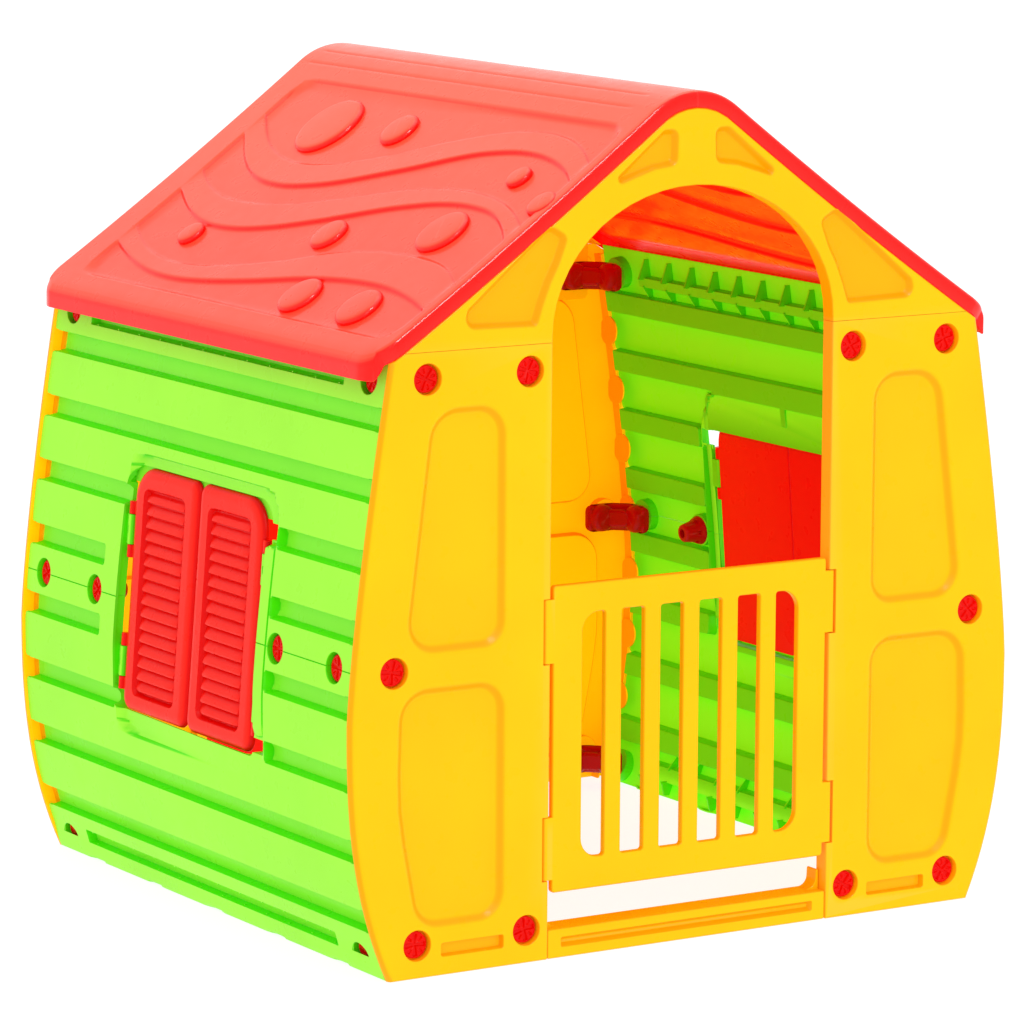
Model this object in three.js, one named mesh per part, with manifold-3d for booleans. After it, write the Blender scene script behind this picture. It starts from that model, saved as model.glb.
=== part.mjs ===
// Plastic playhouse: two end walls, two bowed side walls, a two-piece roof, a half gate at the
// front, a full door at the back and a pair of shutters on each side.
// Millimetres, +Z up. The origin is on the floor under the middle of the house, +X is to the
// right seen from the front, and the front faces -Y.

import * as THREE from 'three';
import { mergeVertices } from 'three/addons/utils/BufferGeometryUtils.js';
import Module from 'manifold-3d';

const wasm = await Module();
wasm.setup();

// ---- Driving dimensions -----------------------------------------------------------------

const HALF_DEPTH = 450;
const GAP = 0.3;
const SKIN = 3;

// The side walls bow outwards: half width at the foot, at the belly and at the wall top.
const FOOT_HALF = 446;
const BELLY_HALF = 502.5;
const TOP_HALF = 441.5;
const BELLY_Z = 325;
const WALL_TOP = 786;
const LOWER_POWER = 2.6;
const UPPER_POWER = 1.3;

// Roof: a rounded ridge that runs into two slopes, each a little flatter at its eave.
const RIDGE_Z = 1090;
const RIDGE_RADIUS = 104;
const RIDGE_SLOPE = 0.752;
const EAVE_SLOPE = 0.655;
const EAVE_X = 472;
const EAVE_FOOT = 752;
const ROOF_SKIN = 4;
const ROOF_LIP = 21;
const UNDER_ROOF = ROOF_LIP + 0.4;

// End walls.
const END_DEPTH = 22;
const PANEL_TOP = WALL_TOP - 2 * GAP;
const RECESS_DEPTH = 10;
const DOOR_HALF = 214;
const DOOR_TOP_HALF = 212;
const POST_WIDTH = 27;
const ARCH_SPRING = 792;
const ARCH_TOP = 971.5;
const TONGUE = { near: 229, far: 400, foot: 710, thick: 4, lap: 6 };
const SILL_HEIGHT = 38;
const SILL_DEPTH = 40;
// Corners of the sunk fields on the right of an end wall, each with its radius.
const PANEL_FIELDS = [
  [[282, 413, 30], [422, 413, 30], [383, 712, 35], [282, 712, 35]],
  [[282, 65, 30], [404, 65, 30], [429, 364, 30], [282, 364, 30]],
];
const GABLE_FIELDS = [
  [[31, 1000, 9], [95, 986], [131, 974, 4], [48, 1041, 8], [30, 1041, 8]],
  [[237, 810, 5], [340, 812, 12], [334, 833, 5], [216, 930, 12], [193, 916, 8], [218, 861]],
];

// Side walls: planks between sunk bands. The planks lap over a rim of the end walls, and the
// rest of the wall stops behind it.
const WALL_INSET = 4;
const WALL_Y = HALF_DEPTH - 10;
const BAND_Y = HALF_DEPTH - 22.6;
const RIM_SET_IN = 17;
const INSIDE_X = 400;
const OUTSIDE_X = 560;
const FLANGE_DEPTH = HALF_DEPTH - WALL_Y - GAP;
const WALL_SEAM = 393;
const WALL_HEIGHT = 784;
const BAND_DEPTH = 14;
const BAND_HEIGHT = 29;
const LOWER_BAND_TOPS = [91, 182, 272, 363];
const UPPER_BAND_TOPS = [457, 544, 631, 718];

// Window frames and shutters. The shutters lie in a flat plane that leans in with the wall.
const WINDOW_Y = 5;
const WINDOW_FOOT = 245;
const WINDOW_TOP = 570;
const FRAME_HALF = 223;
const FRAME_FOOT = 210;
const FRAME_TOP = 592;
const SHUTTER_THICK = 11;
const SHUTTER_SINK = 1;
const HINGE_OFFSET = 180;
const PLATE_NEAR = 1.5;
const PLATE_FAR = 173.5;
const COLUMN_CLEAR = 8.5;
const OPENING = { half: 188.5, clear: 1, footCorner: 8, topCorner: 30, reach: 60 };
const KNUCKLE_WEB = { lap: 3, face: 2 };
const SHUTTER_CORNER = { near: 8, farFoot: 10, farTop: 45 };
const PIVOT_RADIUS = 6;
const PIVOT_Z = [307, 483];
const FIXED_KNUCKLE = 40;
const SHUTTER_KNUCKLE = 17;
const PIN_RADIUS = 2.4;
const BORE_RADIUS = 3.1;
const NOTCH = { near: 187, far: 220, heights: [[251, 270], [522, 543]] };

// Gate and back door.
const LEAF_THICK = 10;
const LEAF_FRONT = HALF_DEPTH - 0.5;
const LEAF_AXIS_X = 216.5;
const LEAF_HALF = 208.5;
const LEAF_FOOT = 85;
const LEAF_KNUCKLE_RADIUS = 5;
const LEAF_PIN_LENGTH = 10;
const LEAF_PIN_ROOT = 4;
const LEAF_ROOM = 7;
const LEAF_LAP = 2;
const LEAF_TAB = 4;
const GATE_TOP = 479;
const GATE_KNUCKLES = [[102, 183], [380, 462]];
const GATE_SLOT_X = [29.5, 88.5, 147.5];
const GATE_SLOT = { half: 17, foot: 126, top: 441, corner: 4, outerCorner: 25 };
const DOOR_GAP = 4;
const DOOR_KNUCKLES = [[102, 183], [380, 462], [640, 722]];

// Fasteners.
const HEAD_RADIUS = 17.5;
const HEAD_THICK = 6;
const HEAD_POCKET = 19.5;
const HEAD_SINK = 6;
const HEAD_DEPTH = 12.3;
const SHANK_RADIUS = 4;
const SHANK_LENGTH = 17;
const SHANK_BORE = 4.8;
const BOSS_RADIUS = 23;
const BOSS_SIDES = 8;
const BOSS_DEPTH = 16;
const END_SCREWS = [[393, 752], [245, 752], [440, 390], [406, 42], [246, 42]];
const WALL_SCREW_Y = 393;
const WALL_SCREW_Z = [750, 22.5];
const CLIP_HEIGHTS = [745, 390, 36];
const CLIP = {
  height: 40, thick: 14, reach: 72, arm: 66, corner: 26, heel: 36, clear: 7, stand: 0.5,
};

// ---- Materials --------------------------------------------------------------------------

const plastic = (name, color) => new THREE.MeshStandardMaterial({
  name, color, roughness: 0.35, metalness: 0,
});
const yellow = plastic('yellow', 0xffd313);
const green = plastic('green', 0xb0f74d);
const red = plastic('red', 0xf93626);
const darkRed = plastic('dark_red', 0xc60202);

// ---- Geometry helpers -------------------------------------------------------------------

function solidOf(geometry) {
  const bare = geometry.clone();
  bare.deleteAttribute('normal');
  bare.deleteAttribute('uv');
  const merged = mergeVertices(bare, 1e-4);
  return new wasm.Manifold(new wasm.Mesh({
    numProp: 3,
    vertProperties: new Float32Array(merged.attributes.position.array),
    triVerts: new Uint32Array(merged.index.array),
  }));
}

function geometryOf(solid) {
  const mesh = solid.getMesh();
  const geometry = new THREE.BufferGeometry();
  geometry.setAttribute('position', new THREE.BufferAttribute(mesh.vertProperties, 3));
  geometry.setIndex(new THREE.BufferAttribute(mesh.triVerts, 1));
  geometry.computeVertexNormals();
  return geometry;
}

const union = (solids) => solids.reduce((sum, solid) => sum.add(solid));
const without = (solid, cutters) => cutters.reduce((rest, cutter) => rest.subtract(cutter), solid);

function extruded(points, depth) {
  const shape = new THREE.Shape(points.map(([a, b]) => new THREE.Vector2(a, b)));
  return new THREE.ExtrudeGeometry(shape, { depth, bevelEnabled: false, curveSegments: 6 });
}

// A plate with an (x, z) outline between two y planes.
function plateY(points, low, high) {
  const geometry = extruded(points, high - low);
  geometry.rotateX(Math.PI / 2);
  geometry.translate(0, high, 0);
  return solidOf(geometry);
}

// A plate with a (y, z) outline between two x planes.
function plateX(points, low, high) {
  const geometry = extruded(points, high - low);
  geometry.applyMatrix4(new THREE.Matrix4().makeBasis(
    new THREE.Vector3(0, 1, 0), new THREE.Vector3(0, 0, 1), new THREE.Vector3(1, 0, 0),
  ));
  geometry.translate(low, 0, 0);
  return solidOf(geometry);
}

// A plate with an (x, y) outline between two z planes.
function plateZ(points, low, high) {
  const geometry = extruded(points, high - low);
  geometry.translate(0, 0, low);
  return solidOf(geometry);
}

function block(x0, x1, y0, y1, z0, z1) {
  const geometry = new THREE.BoxGeometry(x1 - x0, y1 - y0, z1 - z0);
  geometry.translate((x0 + x1) / 2, (y0 + y1) / 2, (z0 + z1) / 2);
  return solidOf(geometry);
}

function rodY(x, z, radius, low, high) {
  const geometry = new THREE.CylinderGeometry(radius, radius, high - low, BOSS_SIDES);
  geometry.translate(x, (low + high) / 2, z);
  return solidOf(geometry);
}

function rodZ(x, y, radius, low, high, sides = 10) {
  const geometry = new THREE.CylinderGeometry(radius, radius, high - low, sides);
  geometry.rotateX(Math.PI / 2);
  geometry.translate(x, y, (low + high) / 2);
  return solidOf(geometry);
}

const moved = (solid, matrix) => solid.transform(matrix.elements);

// Rounds each corner [x, z, radius] of a closed outline with a short arc.
function rounded(corners, steps = 2) {
  const points = [];
  corners.forEach(([x, z, radius = 0], i) => {
    const corner = new THREE.Vector2(x, z);
    const before = new THREE.Vector2(...corners.at(i - 1));
    const after = new THREE.Vector2(...corners[(i + 1) % corners.length]);
    if (radius === 0) {
      points.push([x, z]);
      return;
    }
    const toBefore = before.sub(corner).normalize();
    const toAfter = after.sub(corner).normalize();
    const halfAngle = Math.acos(toBefore.dot(toAfter)) / 2;
    const cut = radius / Math.tan(halfAngle);
    const start = corner.clone().addScaledVector(toBefore, cut);
    const end = corner.clone().addScaledVector(toAfter, cut);
    const arc = new THREE.QuadraticBezierCurve(start, corner, end);
    points.push(...arc.getPoints(steps).map((p) => [p.x, p.y]));
  });
  return points;
}

// Moves every edge of a counter-clockwise outline inwards by the same distance.
function inset(points, distance) {
  return points.map(([x, z], i) => {
    const corner = new THREE.Vector2(x, z);
    const into = corner.clone().sub(new THREE.Vector2(...points.at(i - 1))).normalize();
    const away = new THREE.Vector2(...points[(i + 1) % points.length]).sub(corner).normalize();
    const sum = new THREE.Vector2(-into.y - away.y, into.x + away.x);
    const scale = 2 * distance / sum.lengthSq();
    return [x + sum.x * scale, z + sum.y * scale];
  });
}

const mirrored = (points) => points.map(([x, z]) => [-x, z]).reverse();

// An open-backed moulding: a thin front skin with a rim round its outline.
function tray(points, front, depth) {
  return plateY(points, front, front + depth)
    .subtract(plateY(inset(points, SKIN), front + SKIN, front + depth + 1));
}

// A sunk field in a tray's face: its floor and sides, and the space to cut out of the face.
function sunk(points, front, depth) {
  return {
    shell: plateY(inset(points, -SKIN), front, front + depth + SKIN),
    space: plateY(points, front - 1, front + depth),
  };
}

// ---- Shared outlines --------------------------------------------------------------------

function halfWidth(z) {
  if (z > BELLY_Z) {
    const t = (z - BELLY_Z) / (WALL_TOP - BELLY_Z);
    return BELLY_HALF - (BELLY_HALF - TOP_HALF) * t ** UPPER_POWER;
  }
  return BELLY_HALF - (BELLY_HALF - FOOT_HALF) * ((BELLY_Z - z) / BELLY_Z) ** LOWER_POWER;
}

const heights = (from, to, steps) =>
  Array.from({ length: steps + 1 }, (_, i) => from + (to - from) * i / steps);

// The bowed edge from one height to another, set in by a distance, with a point at the belly.
function bowedEdge(from, to, steps, setIn = 0) {
  const belly = from < BELLY_Z && BELLY_Z < to ? [BELLY_Z] : [];
  return [...heights(from, to, steps), ...belly].sort((a, b) => a - b)
    .map((z) => [halfWidth(z) - setIn, z]);
}

// The roof line from the ridge down the right slope to the eave, lowered square to itself.
function roofLine(drop, ridgeX = 0, eaveX = EAVE_X) {
  const steepest = Math.atan(RIDGE_SLOPE);
  const radius = RIDGE_RADIUS - drop;
  const arc = heights(Math.asin(ridgeX / radius), steepest, 4).map((angle) => [
    radius * Math.sin(angle), RIDGE_Z - RIDGE_RADIUS + radius * Math.cos(angle),
  ]);
  const startX = RIDGE_RADIUS * Math.sin(steepest);
  const startZ = RIDGE_Z - RIDGE_RADIUS * (1 - Math.cos(steepest));
  const easing = (RIDGE_SLOPE - EAVE_SLOPE) / (EAVE_X - startX);
  const slope = heights(0, eaveX - startX, 5).slice(1).map((run) => {
    const angle = Math.atan(RIDGE_SLOPE - easing * run);
    const z = startZ - RIDGE_SLOPE * run + easing * run * run / 2;
    return [startX + run - drop * Math.sin(angle), z - drop * Math.cos(angle)];
  });
  return [...arc, ...slope];
}

// Everything under both slopes of the lowered roof line, to trim an end wall to the roof's lip.
function underRoof() {
  const right = roofLine(UNDER_ROOF);
  const eaveZ = right.at(-1)[1];
  const left = right.slice(1).map(([x, z]) => [-x, z]);
  return plateY([
    [-OUTSIDE_X, -1], [OUTSIDE_X, -1], [OUTSIDE_X, eaveZ], ...[...right].reverse(), ...left,
    [-OUTSIDE_X, eaveZ],
  ], -HALF_DEPTH - 1, 0);
}

// ---- End walls --------------------------------------------------------------------------

const FRONT = -HALF_DEPTH;

function screwBoss([x, z]) {
  return {
    shell: rodY(x, z, BOSS_RADIUS, FRONT, FRONT + BOSS_DEPTH),
    space: rodY(x, z, HEAD_POCKET, FRONT - 1, FRONT + HEAD_DEPTH)
      .add(rodY(x, z, SHANK_BORE, FRONT - 1, FRONT + END_DEPTH + 1)),
  };
}

// Room for the leaf's knuckles in the door post, and the stub pins that they turn on.
function postPivots(knuckles, withPins) {
  const spaces = knuckles.map(([low, high]) => block(LEAF_AXIS_X - LEAF_ROOM,
    LEAF_AXIS_X + LEAF_ROOM, FRONT - 1, FRONT + END_DEPTH + 1, low - 1, high + 1));
  const y = LEAF_THICK / 2 - LEAF_FRONT;
  const pins = withPins ? knuckles.flatMap(([low, high]) => [
    rodZ(LEAF_AXIS_X, y, PIN_RADIUS, low - LEAF_PIN_ROOT, low + LEAF_PIN_LENGTH, 6),
    rodZ(LEAF_AXIS_X, y, PIN_RADIUS, high - LEAF_PIN_LENGTH, high + LEAF_PIN_ROOT, 6),
  ]) : [];
  return { spaces, pins };
}

// The stepped side of a panel: a flange that covers the ends of the planks, and a rim under them.
function panelSide() {
  const strip = (near, far, depth) => plateY([
    ...bowedEdge(0, PANEL_TOP, 9, near), ...bowedEdge(0, PANEL_TOP, 9, far).reverse(),
  ], FRONT, FRONT + depth);
  return [strip(0, RIM_SET_IN + SKIN, FLANGE_DEPTH),
    strip(RIM_SET_IN, RIM_SET_IN + SKIN, END_DEPTH)];
}

// Room behind the flange for the ends of the planks.
function plankRoom() {
  const edge = bowedEdge(0, PANEL_TOP, 9, RIM_SET_IN);
  return plateY([
    [edge.at(0)[0], -1], ...edge, [edge.at(-1)[0], PANEL_TOP + 1],
    [OUTSIDE_X, PANEL_TOP + 1], [OUTSIDE_X, -1],
  ], FRONT + FLANGE_DEPTH, FRONT + END_DEPTH + 1);
}

// The right-hand front panel; the other three are the same shape turned or mirrored.
function endPanel(knuckles, withPins) {
  const outline = [
    [DOOR_HALF, 0], ...bowedEdge(0, PANEL_TOP, 9), [DOOR_TOP_HALF, PANEL_TOP],
  ];
  const post = block(DOOR_TOP_HALF, DOOR_TOP_HALF + POST_WIDTH, FRONT, FRONT + END_DEPTH,
    0, PANEL_TOP).intersect(plateY(outline, FRONT, FRONT + END_DEPTH));
  const features = [
    ...PANEL_FIELDS.map((corners) => sunk(rounded(corners), FRONT, RECESS_DEPTH)),
    ...END_SCREWS.map(screwBoss),
  ];
  const pivots = postPivots(knuckles, withPins);
  const body = union([
    tray(outline, FRONT, END_DEPTH).subtract(plankRoom()), post, ...panelSide(),
    ...features.map((feature) => feature.shell),
  ]);
  const cut = without(body.intersect(underRoof()),
    [...features.map((feature) => feature.space), ...pivots.spaces]);
  return union([cut, ...pivots.pins]);
}

function archEdge(half, top, steps) {
  return heights(0, Math.PI, steps).map((angle) => [
    half * Math.cos(angle), ARCH_SPRING + (top - ARCH_SPRING) * Math.sin(angle),
  ]);
}

// The lowered roof line from the ridge down to the top of the panels.
function gableSlope() {
  const points = roofLine(UNDER_ROOF);
  const below = points.findIndex(([, z]) => z < WALL_TOP);
  const [[x0, z0], [x1, z1]] = [points[below - 1], points[below]];
  return [...points.slice(0, below), [x0 + (x1 - x0) * (z0 - WALL_TOP) / (z0 - z1), WALL_TOP]];
}

// A tongue that goes down behind a panel, and the lug that carries it.
function gableTongue(side) {
  const [left, right] = side < 0 ? [-TONGUE.far, -TONGUE.near] : [TONGUE.near, TONGUE.far];
  const back = FRONT + END_DEPTH + TONGUE.thick;
  return [
    block(left, right, FRONT + END_DEPTH + GAP, back, TONGUE.foot, WALL_TOP + TONGUE.lap),
    block(left, right, FRONT + SKIN - 1, back, WALL_TOP, WALL_TOP + TONGUE.lap),
  ];
}

function gable() {
  const right = gableSlope();
  const left = right.slice(1).map(([x, z]) => [-x, z]);
  const outline = [
    [DOOR_TOP_HALF, WALL_TOP], ...[...right].reverse(), ...left, [-DOOR_TOP_HALF, WALL_TOP],
    ...archEdge(DOOR_TOP_HALF, ARCH_TOP, 12).slice(1, -1).reverse(),
  ];
  const fields = GABLE_FIELDS.map((corners) => rounded(corners))
    .flatMap((points) => [points, mirrored(points)])
    .map((points) => sunk(points, FRONT, RECESS_DEPTH));
  const holes = END_SCREWS.slice(0, 2).flatMap(([x, z]) => [x, -x].map((at) =>
    rodY(at, z, SHANK_BORE, FRONT + END_DEPTH - 1, FRONT + END_DEPTH + TONGUE.thick + 1)));
  const body = union([
    tray(outline, FRONT, END_DEPTH), ...fields.map((field) => field.shell),
    ...gableTongue(-1), ...gableTongue(1),
  ]);
  return without(body.intersect(underRoof()), [...fields.map((field) => field.space), ...holes]);
}

function sill() {
  const outer = block(-DOOR_HALF + GAP, DOOR_HALF - GAP, FRONT, FRONT + SILL_DEPTH, 0, SILL_HEIGHT);
  const inner = block(-DOOR_HALF + SKIN + 1, DOOR_HALF - SKIN - 1,
    FRONT + SKIN, FRONT + SILL_DEPTH + 1, -1, SILL_HEIGHT - SKIN);
  return outer.subtract(inner);
}

// ---- Gate and back door -----------------------------------------------------------------

// Knuckles at a leaf's hinge side and matching tabs at its free side.
function leafKnuckles(knuckles, hingeSide) {
  const y = -LEAF_FRONT + LEAF_THICK / 2;
  return knuckles.map(([low, high]) => {
    const barrel = rodZ(hingeSide * LEAF_AXIS_X, y, LEAF_KNUCKLE_RADIUS, low, high);
    const spans = [LEAF_HALF - LEAF_LAP, LEAF_AXIS_X].map((x) => hingeSide * x);
    const web = block(Math.min(...spans), Math.max(...spans),
      -LEAF_FRONT, -LEAF_FRONT + LEAF_THICK, low, high);
    const tabSpans = [LEAF_HALF - LEAF_LAP, LEAF_AXIS_X + LEAF_TAB].map((x) => -hingeSide * x);
    const tab = block(Math.min(...tabSpans), Math.max(...tabSpans),
      -LEAF_FRONT, -LEAF_FRONT + LEAF_THICK, low, high);
    return union([barrel, web, tab]);
  });
}

const leafBores = (knuckles, hingeSide) => knuckles.map(([low, high]) =>
  rodZ(hingeSide * LEAF_AXIS_X, -LEAF_FRONT + LEAF_THICK / 2, BORE_RADIUS, low - 1, high + 1, 8));

function gate(hingeSide) {
  const outline = rounded([
    [-LEAF_HALF, LEAF_FOOT, 4], [LEAF_HALF, LEAF_FOOT, 4],
    [LEAF_HALF, GATE_TOP, 4], [-LEAF_HALF, GATE_TOP, 4],
  ]);
  const slots = GATE_SLOT_X.flatMap((x, i) => {
    const outer = i === GATE_SLOT_X.length - 1 ? GATE_SLOT.outerCorner : GATE_SLOT.corner;
    const slot = rounded([
      [x - GATE_SLOT.half, GATE_SLOT.foot, GATE_SLOT.corner],
      [x + GATE_SLOT.half, GATE_SLOT.foot, outer],
      [x + GATE_SLOT.half, GATE_SLOT.top, outer],
      [x - GATE_SLOT.half, GATE_SLOT.top, GATE_SLOT.corner],
    ]);
    return [slot, mirrored(slot)];
  }).map((points) => plateY(points, -HALF_DEPTH, -HALF_DEPTH + LEAF_THICK + 2));
  const leaf = plateY(outline, -LEAF_FRONT, -LEAF_FRONT + LEAF_THICK);
  return without(union([leaf, ...leafKnuckles(GATE_KNUCKLES, hingeSide)]),
    [...slots, ...leafBores(GATE_KNUCKLES, hingeSide)]);
}

function backDoor(hingeSide) {
  const outline = [
    [-LEAF_HALF, LEAF_FOOT], [LEAF_HALF, LEAF_FOOT],
    ...archEdge(LEAF_HALF - 1, ARCH_TOP - DOOR_GAP, 12),
  ];
  const leaf = tray(outline, -LEAF_FRONT, LEAF_THICK);
  const stiles = leafKnuckles(DOOR_KNUCKLES, hingeSide);
  return without(union([leaf, ...stiles]), leafBores(DOOR_KNUCKLES, hingeSide));
}

// ---- Side walls -------------------------------------------------------------------------

// A line up one wall half, set in by one distance along the planks and another along the bands.
function wallLine(foot, top, bandTops, setIn, bandSetIn, bandGrow) {
  const points = bowedEdge(foot, top, 5, setIn).filter(([, z]) =>
    bandTops.every((bandTop) => z > bandTop + bandGrow || z < bandTop - BAND_HEIGHT - bandGrow));
  for (const bandTop of bandTops) {
    const low = bandTop - BAND_HEIGHT - bandGrow;
    const high = bandTop + bandGrow;
    points.push([halfWidth(low) - setIn, low - 0.01], [halfWidth(low) - bandSetIn, low]);
    points.push([halfWidth(high) - bandSetIn, high], [halfWidth(high) - setIn, high + 0.01]);
  }
  return points.sort((a, b) => a[1] - b[1]);
}

// The corrugated cross-section of one wall half: the outer line, and the inner line behind it.
function wallSection(foot, top, bandTops) {
  const outer = wallLine(foot, top, bandTops, WALL_INSET, WALL_INSET + BAND_DEPTH, 0);
  const inner = wallLine(foot, top, bandTops, WALL_INSET + SKIN, WALL_INSET + BAND_DEPTH + SKIN,
    SKIN);
  return [...outer, ...inner.reverse()];
}

// Room for the end walls' rims behind the ends of the planks.
function rimRooms(foot, top, bandTops) {
  const setIn = WALL_INSET + SKIN + GAP;
  const section = [
    ...wallLine(foot, top, bandTops, setIn, setIn, SKIN), [INSIDE_X, top + 1], [INSIDE_X, foot - 1],
  ];
  return [plateY(section, BAND_Y, WALL_Y + 1), plateY(section, -WALL_Y - 1, -BAND_Y)];
}

// The wall's own frame in its lean: +X outwards, +Z up the shutters, on the hinge plane.
const windowMid = (WINDOW_FOOT + WINDOW_TOP) / 2;
const chordFoot = halfWidth(WINDOW_FOOT) - WALL_INSET;
const chordTop = halfWidth(WINDOW_TOP) - WALL_INSET;
const lean = Math.atan((chordFoot - chordTop) / (WINDOW_TOP - WINDOW_FOOT));
const hingePlaneX = (chordFoot + chordTop) / 2 - SHUTTER_SINK - SHUTTER_THICK / 2;
const hingePlane = new THREE.Matrix4().makeRotationY(-lean)
  .setPosition(hingePlaneX, WINDOW_Y, windowMid);

// The plain frame moulded round the window, in the bowed line of the wall.
function windowFrame(foot, top) {
  const low = Math.max(foot, FRAME_FOOT);
  const high = Math.min(top, FRAME_TOP);
  const section = [
    ...bowedEdge(low, high, 6, WALL_INSET),
    ...bowedEdge(low, high, 6, WALL_INSET + BAND_DEPTH).reverse(),
  ];
  return plateY(section, -FRAME_HALF, FRAME_HALF);
}

function fixedKnuckles(foot, top) {
  return PIVOT_Z.filter((z) => z > foot && z < top).flatMap((z) => [-1, 1].map((side) => {
    const axisY = side * HINGE_OFFSET;
    const low = z - windowMid - FIXED_KNUCKLE / 2;
    const high = z - windowMid + FIXED_KNUCKLE / 2;
    const edge = side * (HINGE_OFFSET + COLUMN_CLEAR + KNUCKLE_WEB.lap);
    const barrel = rodZ(0, axisY, PIVOT_RADIUS, low, high);
    const web = block(-PIVOT_RADIUS, KNUCKLE_WEB.face, Math.min(axisY, edge),
      Math.max(axisY, edge), low, high);
    const bore = rodZ(0, axisY, BORE_RADIUS, low - 1, high + 1, 8);
    return moved(barrel.add(web).subtract(bore), hingePlane);
  }));
}

// The space of the window in the hinge plane.
function windowOpening() {
  const { half, clear, footCorner, topCorner, reach } = OPENING;
  const foot = WINDOW_FOOT - clear - windowMid;
  const top = WINDOW_TOP + clear - windowMid;
  const corners = [
    [-half, foot, footCorner], [half, foot, footCorner], [half, top, topCorner],
    [-half, top, topCorner],
  ];
  return moved(plateX(rounded(corners), -reach, reach), hingePlane);
}

// One half of the right wall, from one height to another.
function wallHalf(foot, top, bandTops) {
  const skin = plateY(wallSection(foot, top, bandTops), -WALL_Y, WALL_Y);
  const notches = NOTCH.heights.map(([low, high]) =>
    block(INSIDE_X, OUTSIDE_X, NOTCH.near, NOTCH.far, low, high));
  const bosses = WALL_SCREW_Z.filter((z) => z > foot && z < top)
    .flatMap((z) => [-1, 1].map((side) => wallBoss(side * WALL_SCREW_Y, z)));
  const body = union([
    skin.subtract(union(rimRooms(foot, top, bandTops))), windowFrame(foot, top),
    ...bosses.map((boss) => boss.shell),
  ]);
  const trim = block(INSIDE_X, OUTSIDE_X, -WALL_Y, WALL_Y, foot, top);
  return without(body.intersect(trim), [
    windowOpening(), ...notches, ...bosses.map((boss) => boss.space),
  ]).add(union(fixedKnuckles(foot, top)));
}

// The matrix that stands a screw's axis square to the wall at one height.
function wallNormal(y, z) {
  const slope = (halfWidth(z + 1) - halfWidth(z - 1)) / 2;
  return new THREE.Matrix4().makeRotationY(Math.atan(slope))
    .setPosition(halfWidth(z) - WALL_INSET, y, z);
}

function rodX(radius, low, high) {
  const geometry = new THREE.CylinderGeometry(radius, radius, high - low, BOSS_SIDES);
  geometry.rotateZ(Math.PI / 2);
  geometry.translate((low + high) / 2, 0, 0);
  return solidOf(geometry);
}

function wallBoss(y, z) {
  const place = wallNormal(y, z);
  return {
    shell: moved(rodX(BOSS_RADIUS, -BOSS_DEPTH, -0.5), place),
    space: moved(rodX(HEAD_POCKET, -HEAD_DEPTH, WALL_INSET)
      .add(rodX(SHANK_BORE, -BOSS_DEPTH - 1, 0)), place),
  };
}

// ---- Shutters ---------------------------------------------------------------------------

// One shutter in the hinge plane's frame; side is -1 for the front leaf, 1 for the rear one.
function shutter(side) {
  const half = SHUTTER_THICK / 2;
  const foot = WINDOW_FOOT - windowMid;
  const top = WINDOW_TOP - windowMid;
  const ordered = (points) => (side < 0 ? mirrored(points) : points);
  const outline = ordered(rounded([
    [PLATE_NEAR, foot, SHUTTER_CORNER.near], [PLATE_FAR, foot, SHUTTER_CORNER.farFoot],
    [PLATE_FAR, top, SHUTTER_CORNER.farTop], [PLATE_NEAR, top, SHUTTER_CORNER.near],
  ], 3));
  const plate = plateX(outline, -half, half);
  const hollow = plateX(inset(outline, SKIN), -half - 1, half - SKIN);
  const axisY = side * HINGE_OFFSET;
  const knuckles = PIVOT_Z.flatMap((z) => [-1, 1].map((end) => {
    const near = z - windowMid + end * (FIXED_KNUCKLE / 2 + 0.5);
    const far = near + end * SHUTTER_KNUCKLE;
    const barrel = rodZ(0, axisY, PIVOT_RADIUS - 0.5, Math.min(near, far), Math.max(near, far));
    const plateEdge = side * (PLATE_FAR - LEAF_LAP);
    const web = block(-half, half, Math.min(axisY, plateEdge), Math.max(axisY, plateEdge),
      Math.min(near, far), Math.max(near, far));
    return barrel.add(web);
  }));
  const pins = PIVOT_Z.map((z) => rodZ(0, axisY, PIN_RADIUS,
    z - windowMid - FIXED_KNUCKLE / 2 - 2, z - windowMid + FIXED_KNUCKLE / 2 + 2, 6));
  return union([plate.subtract(hollow), ...knuckles, ...pins]);
}

// ---- Roof -------------------------------------------------------------------------------

// The right half: a thin skin with a lip round its edge.
function roofHalf() {
  const seamX = GAP / 2;
  const eaveX = EAVE_X - ROOF_SKIN + ROOF_SKIN * Math.sin(Math.atan(EAVE_SLOPE));
  const slab = plateY([
    ...roofLine(0, seamX), [EAVE_X, EAVE_FOOT], [EAVE_X - ROOF_SKIN, EAVE_FOOT],
    ...roofLine(ROOF_LIP, seamX).reverse(),
  ], -HALF_DEPTH, HALF_DEPTH);
  const hollow = plateY([
    ...roofLine(ROOF_SKIN, ROOF_SKIN, eaveX), [EAVE_X - ROOF_SKIN, EAVE_FOOT - 1],
    ...roofLine(ROOF_LIP + ROOF_SKIN, ROOF_SKIN).reverse(),
  ], -HALF_DEPTH + ROOF_SKIN, HALF_DEPTH - ROOF_SKIN);
  return slab.subtract(hollow);
}

// ---- Fasteners --------------------------------------------------------------------------

// A screw along +Y with its head at the start.
function screwGeometry() {
  const profile = [
    [0, 0], [HEAD_RADIUS, 0], [HEAD_RADIUS, HEAD_THICK],
    [SHANK_RADIUS, HEAD_THICK], [SHANK_RADIUS, SHANK_LENGTH], [0, SHANK_LENGTH],
  ].map(([radius, along]) => new THREE.Vector2(radius, along));
  return new THREE.LatheGeometry(profile, 8);
}

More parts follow.
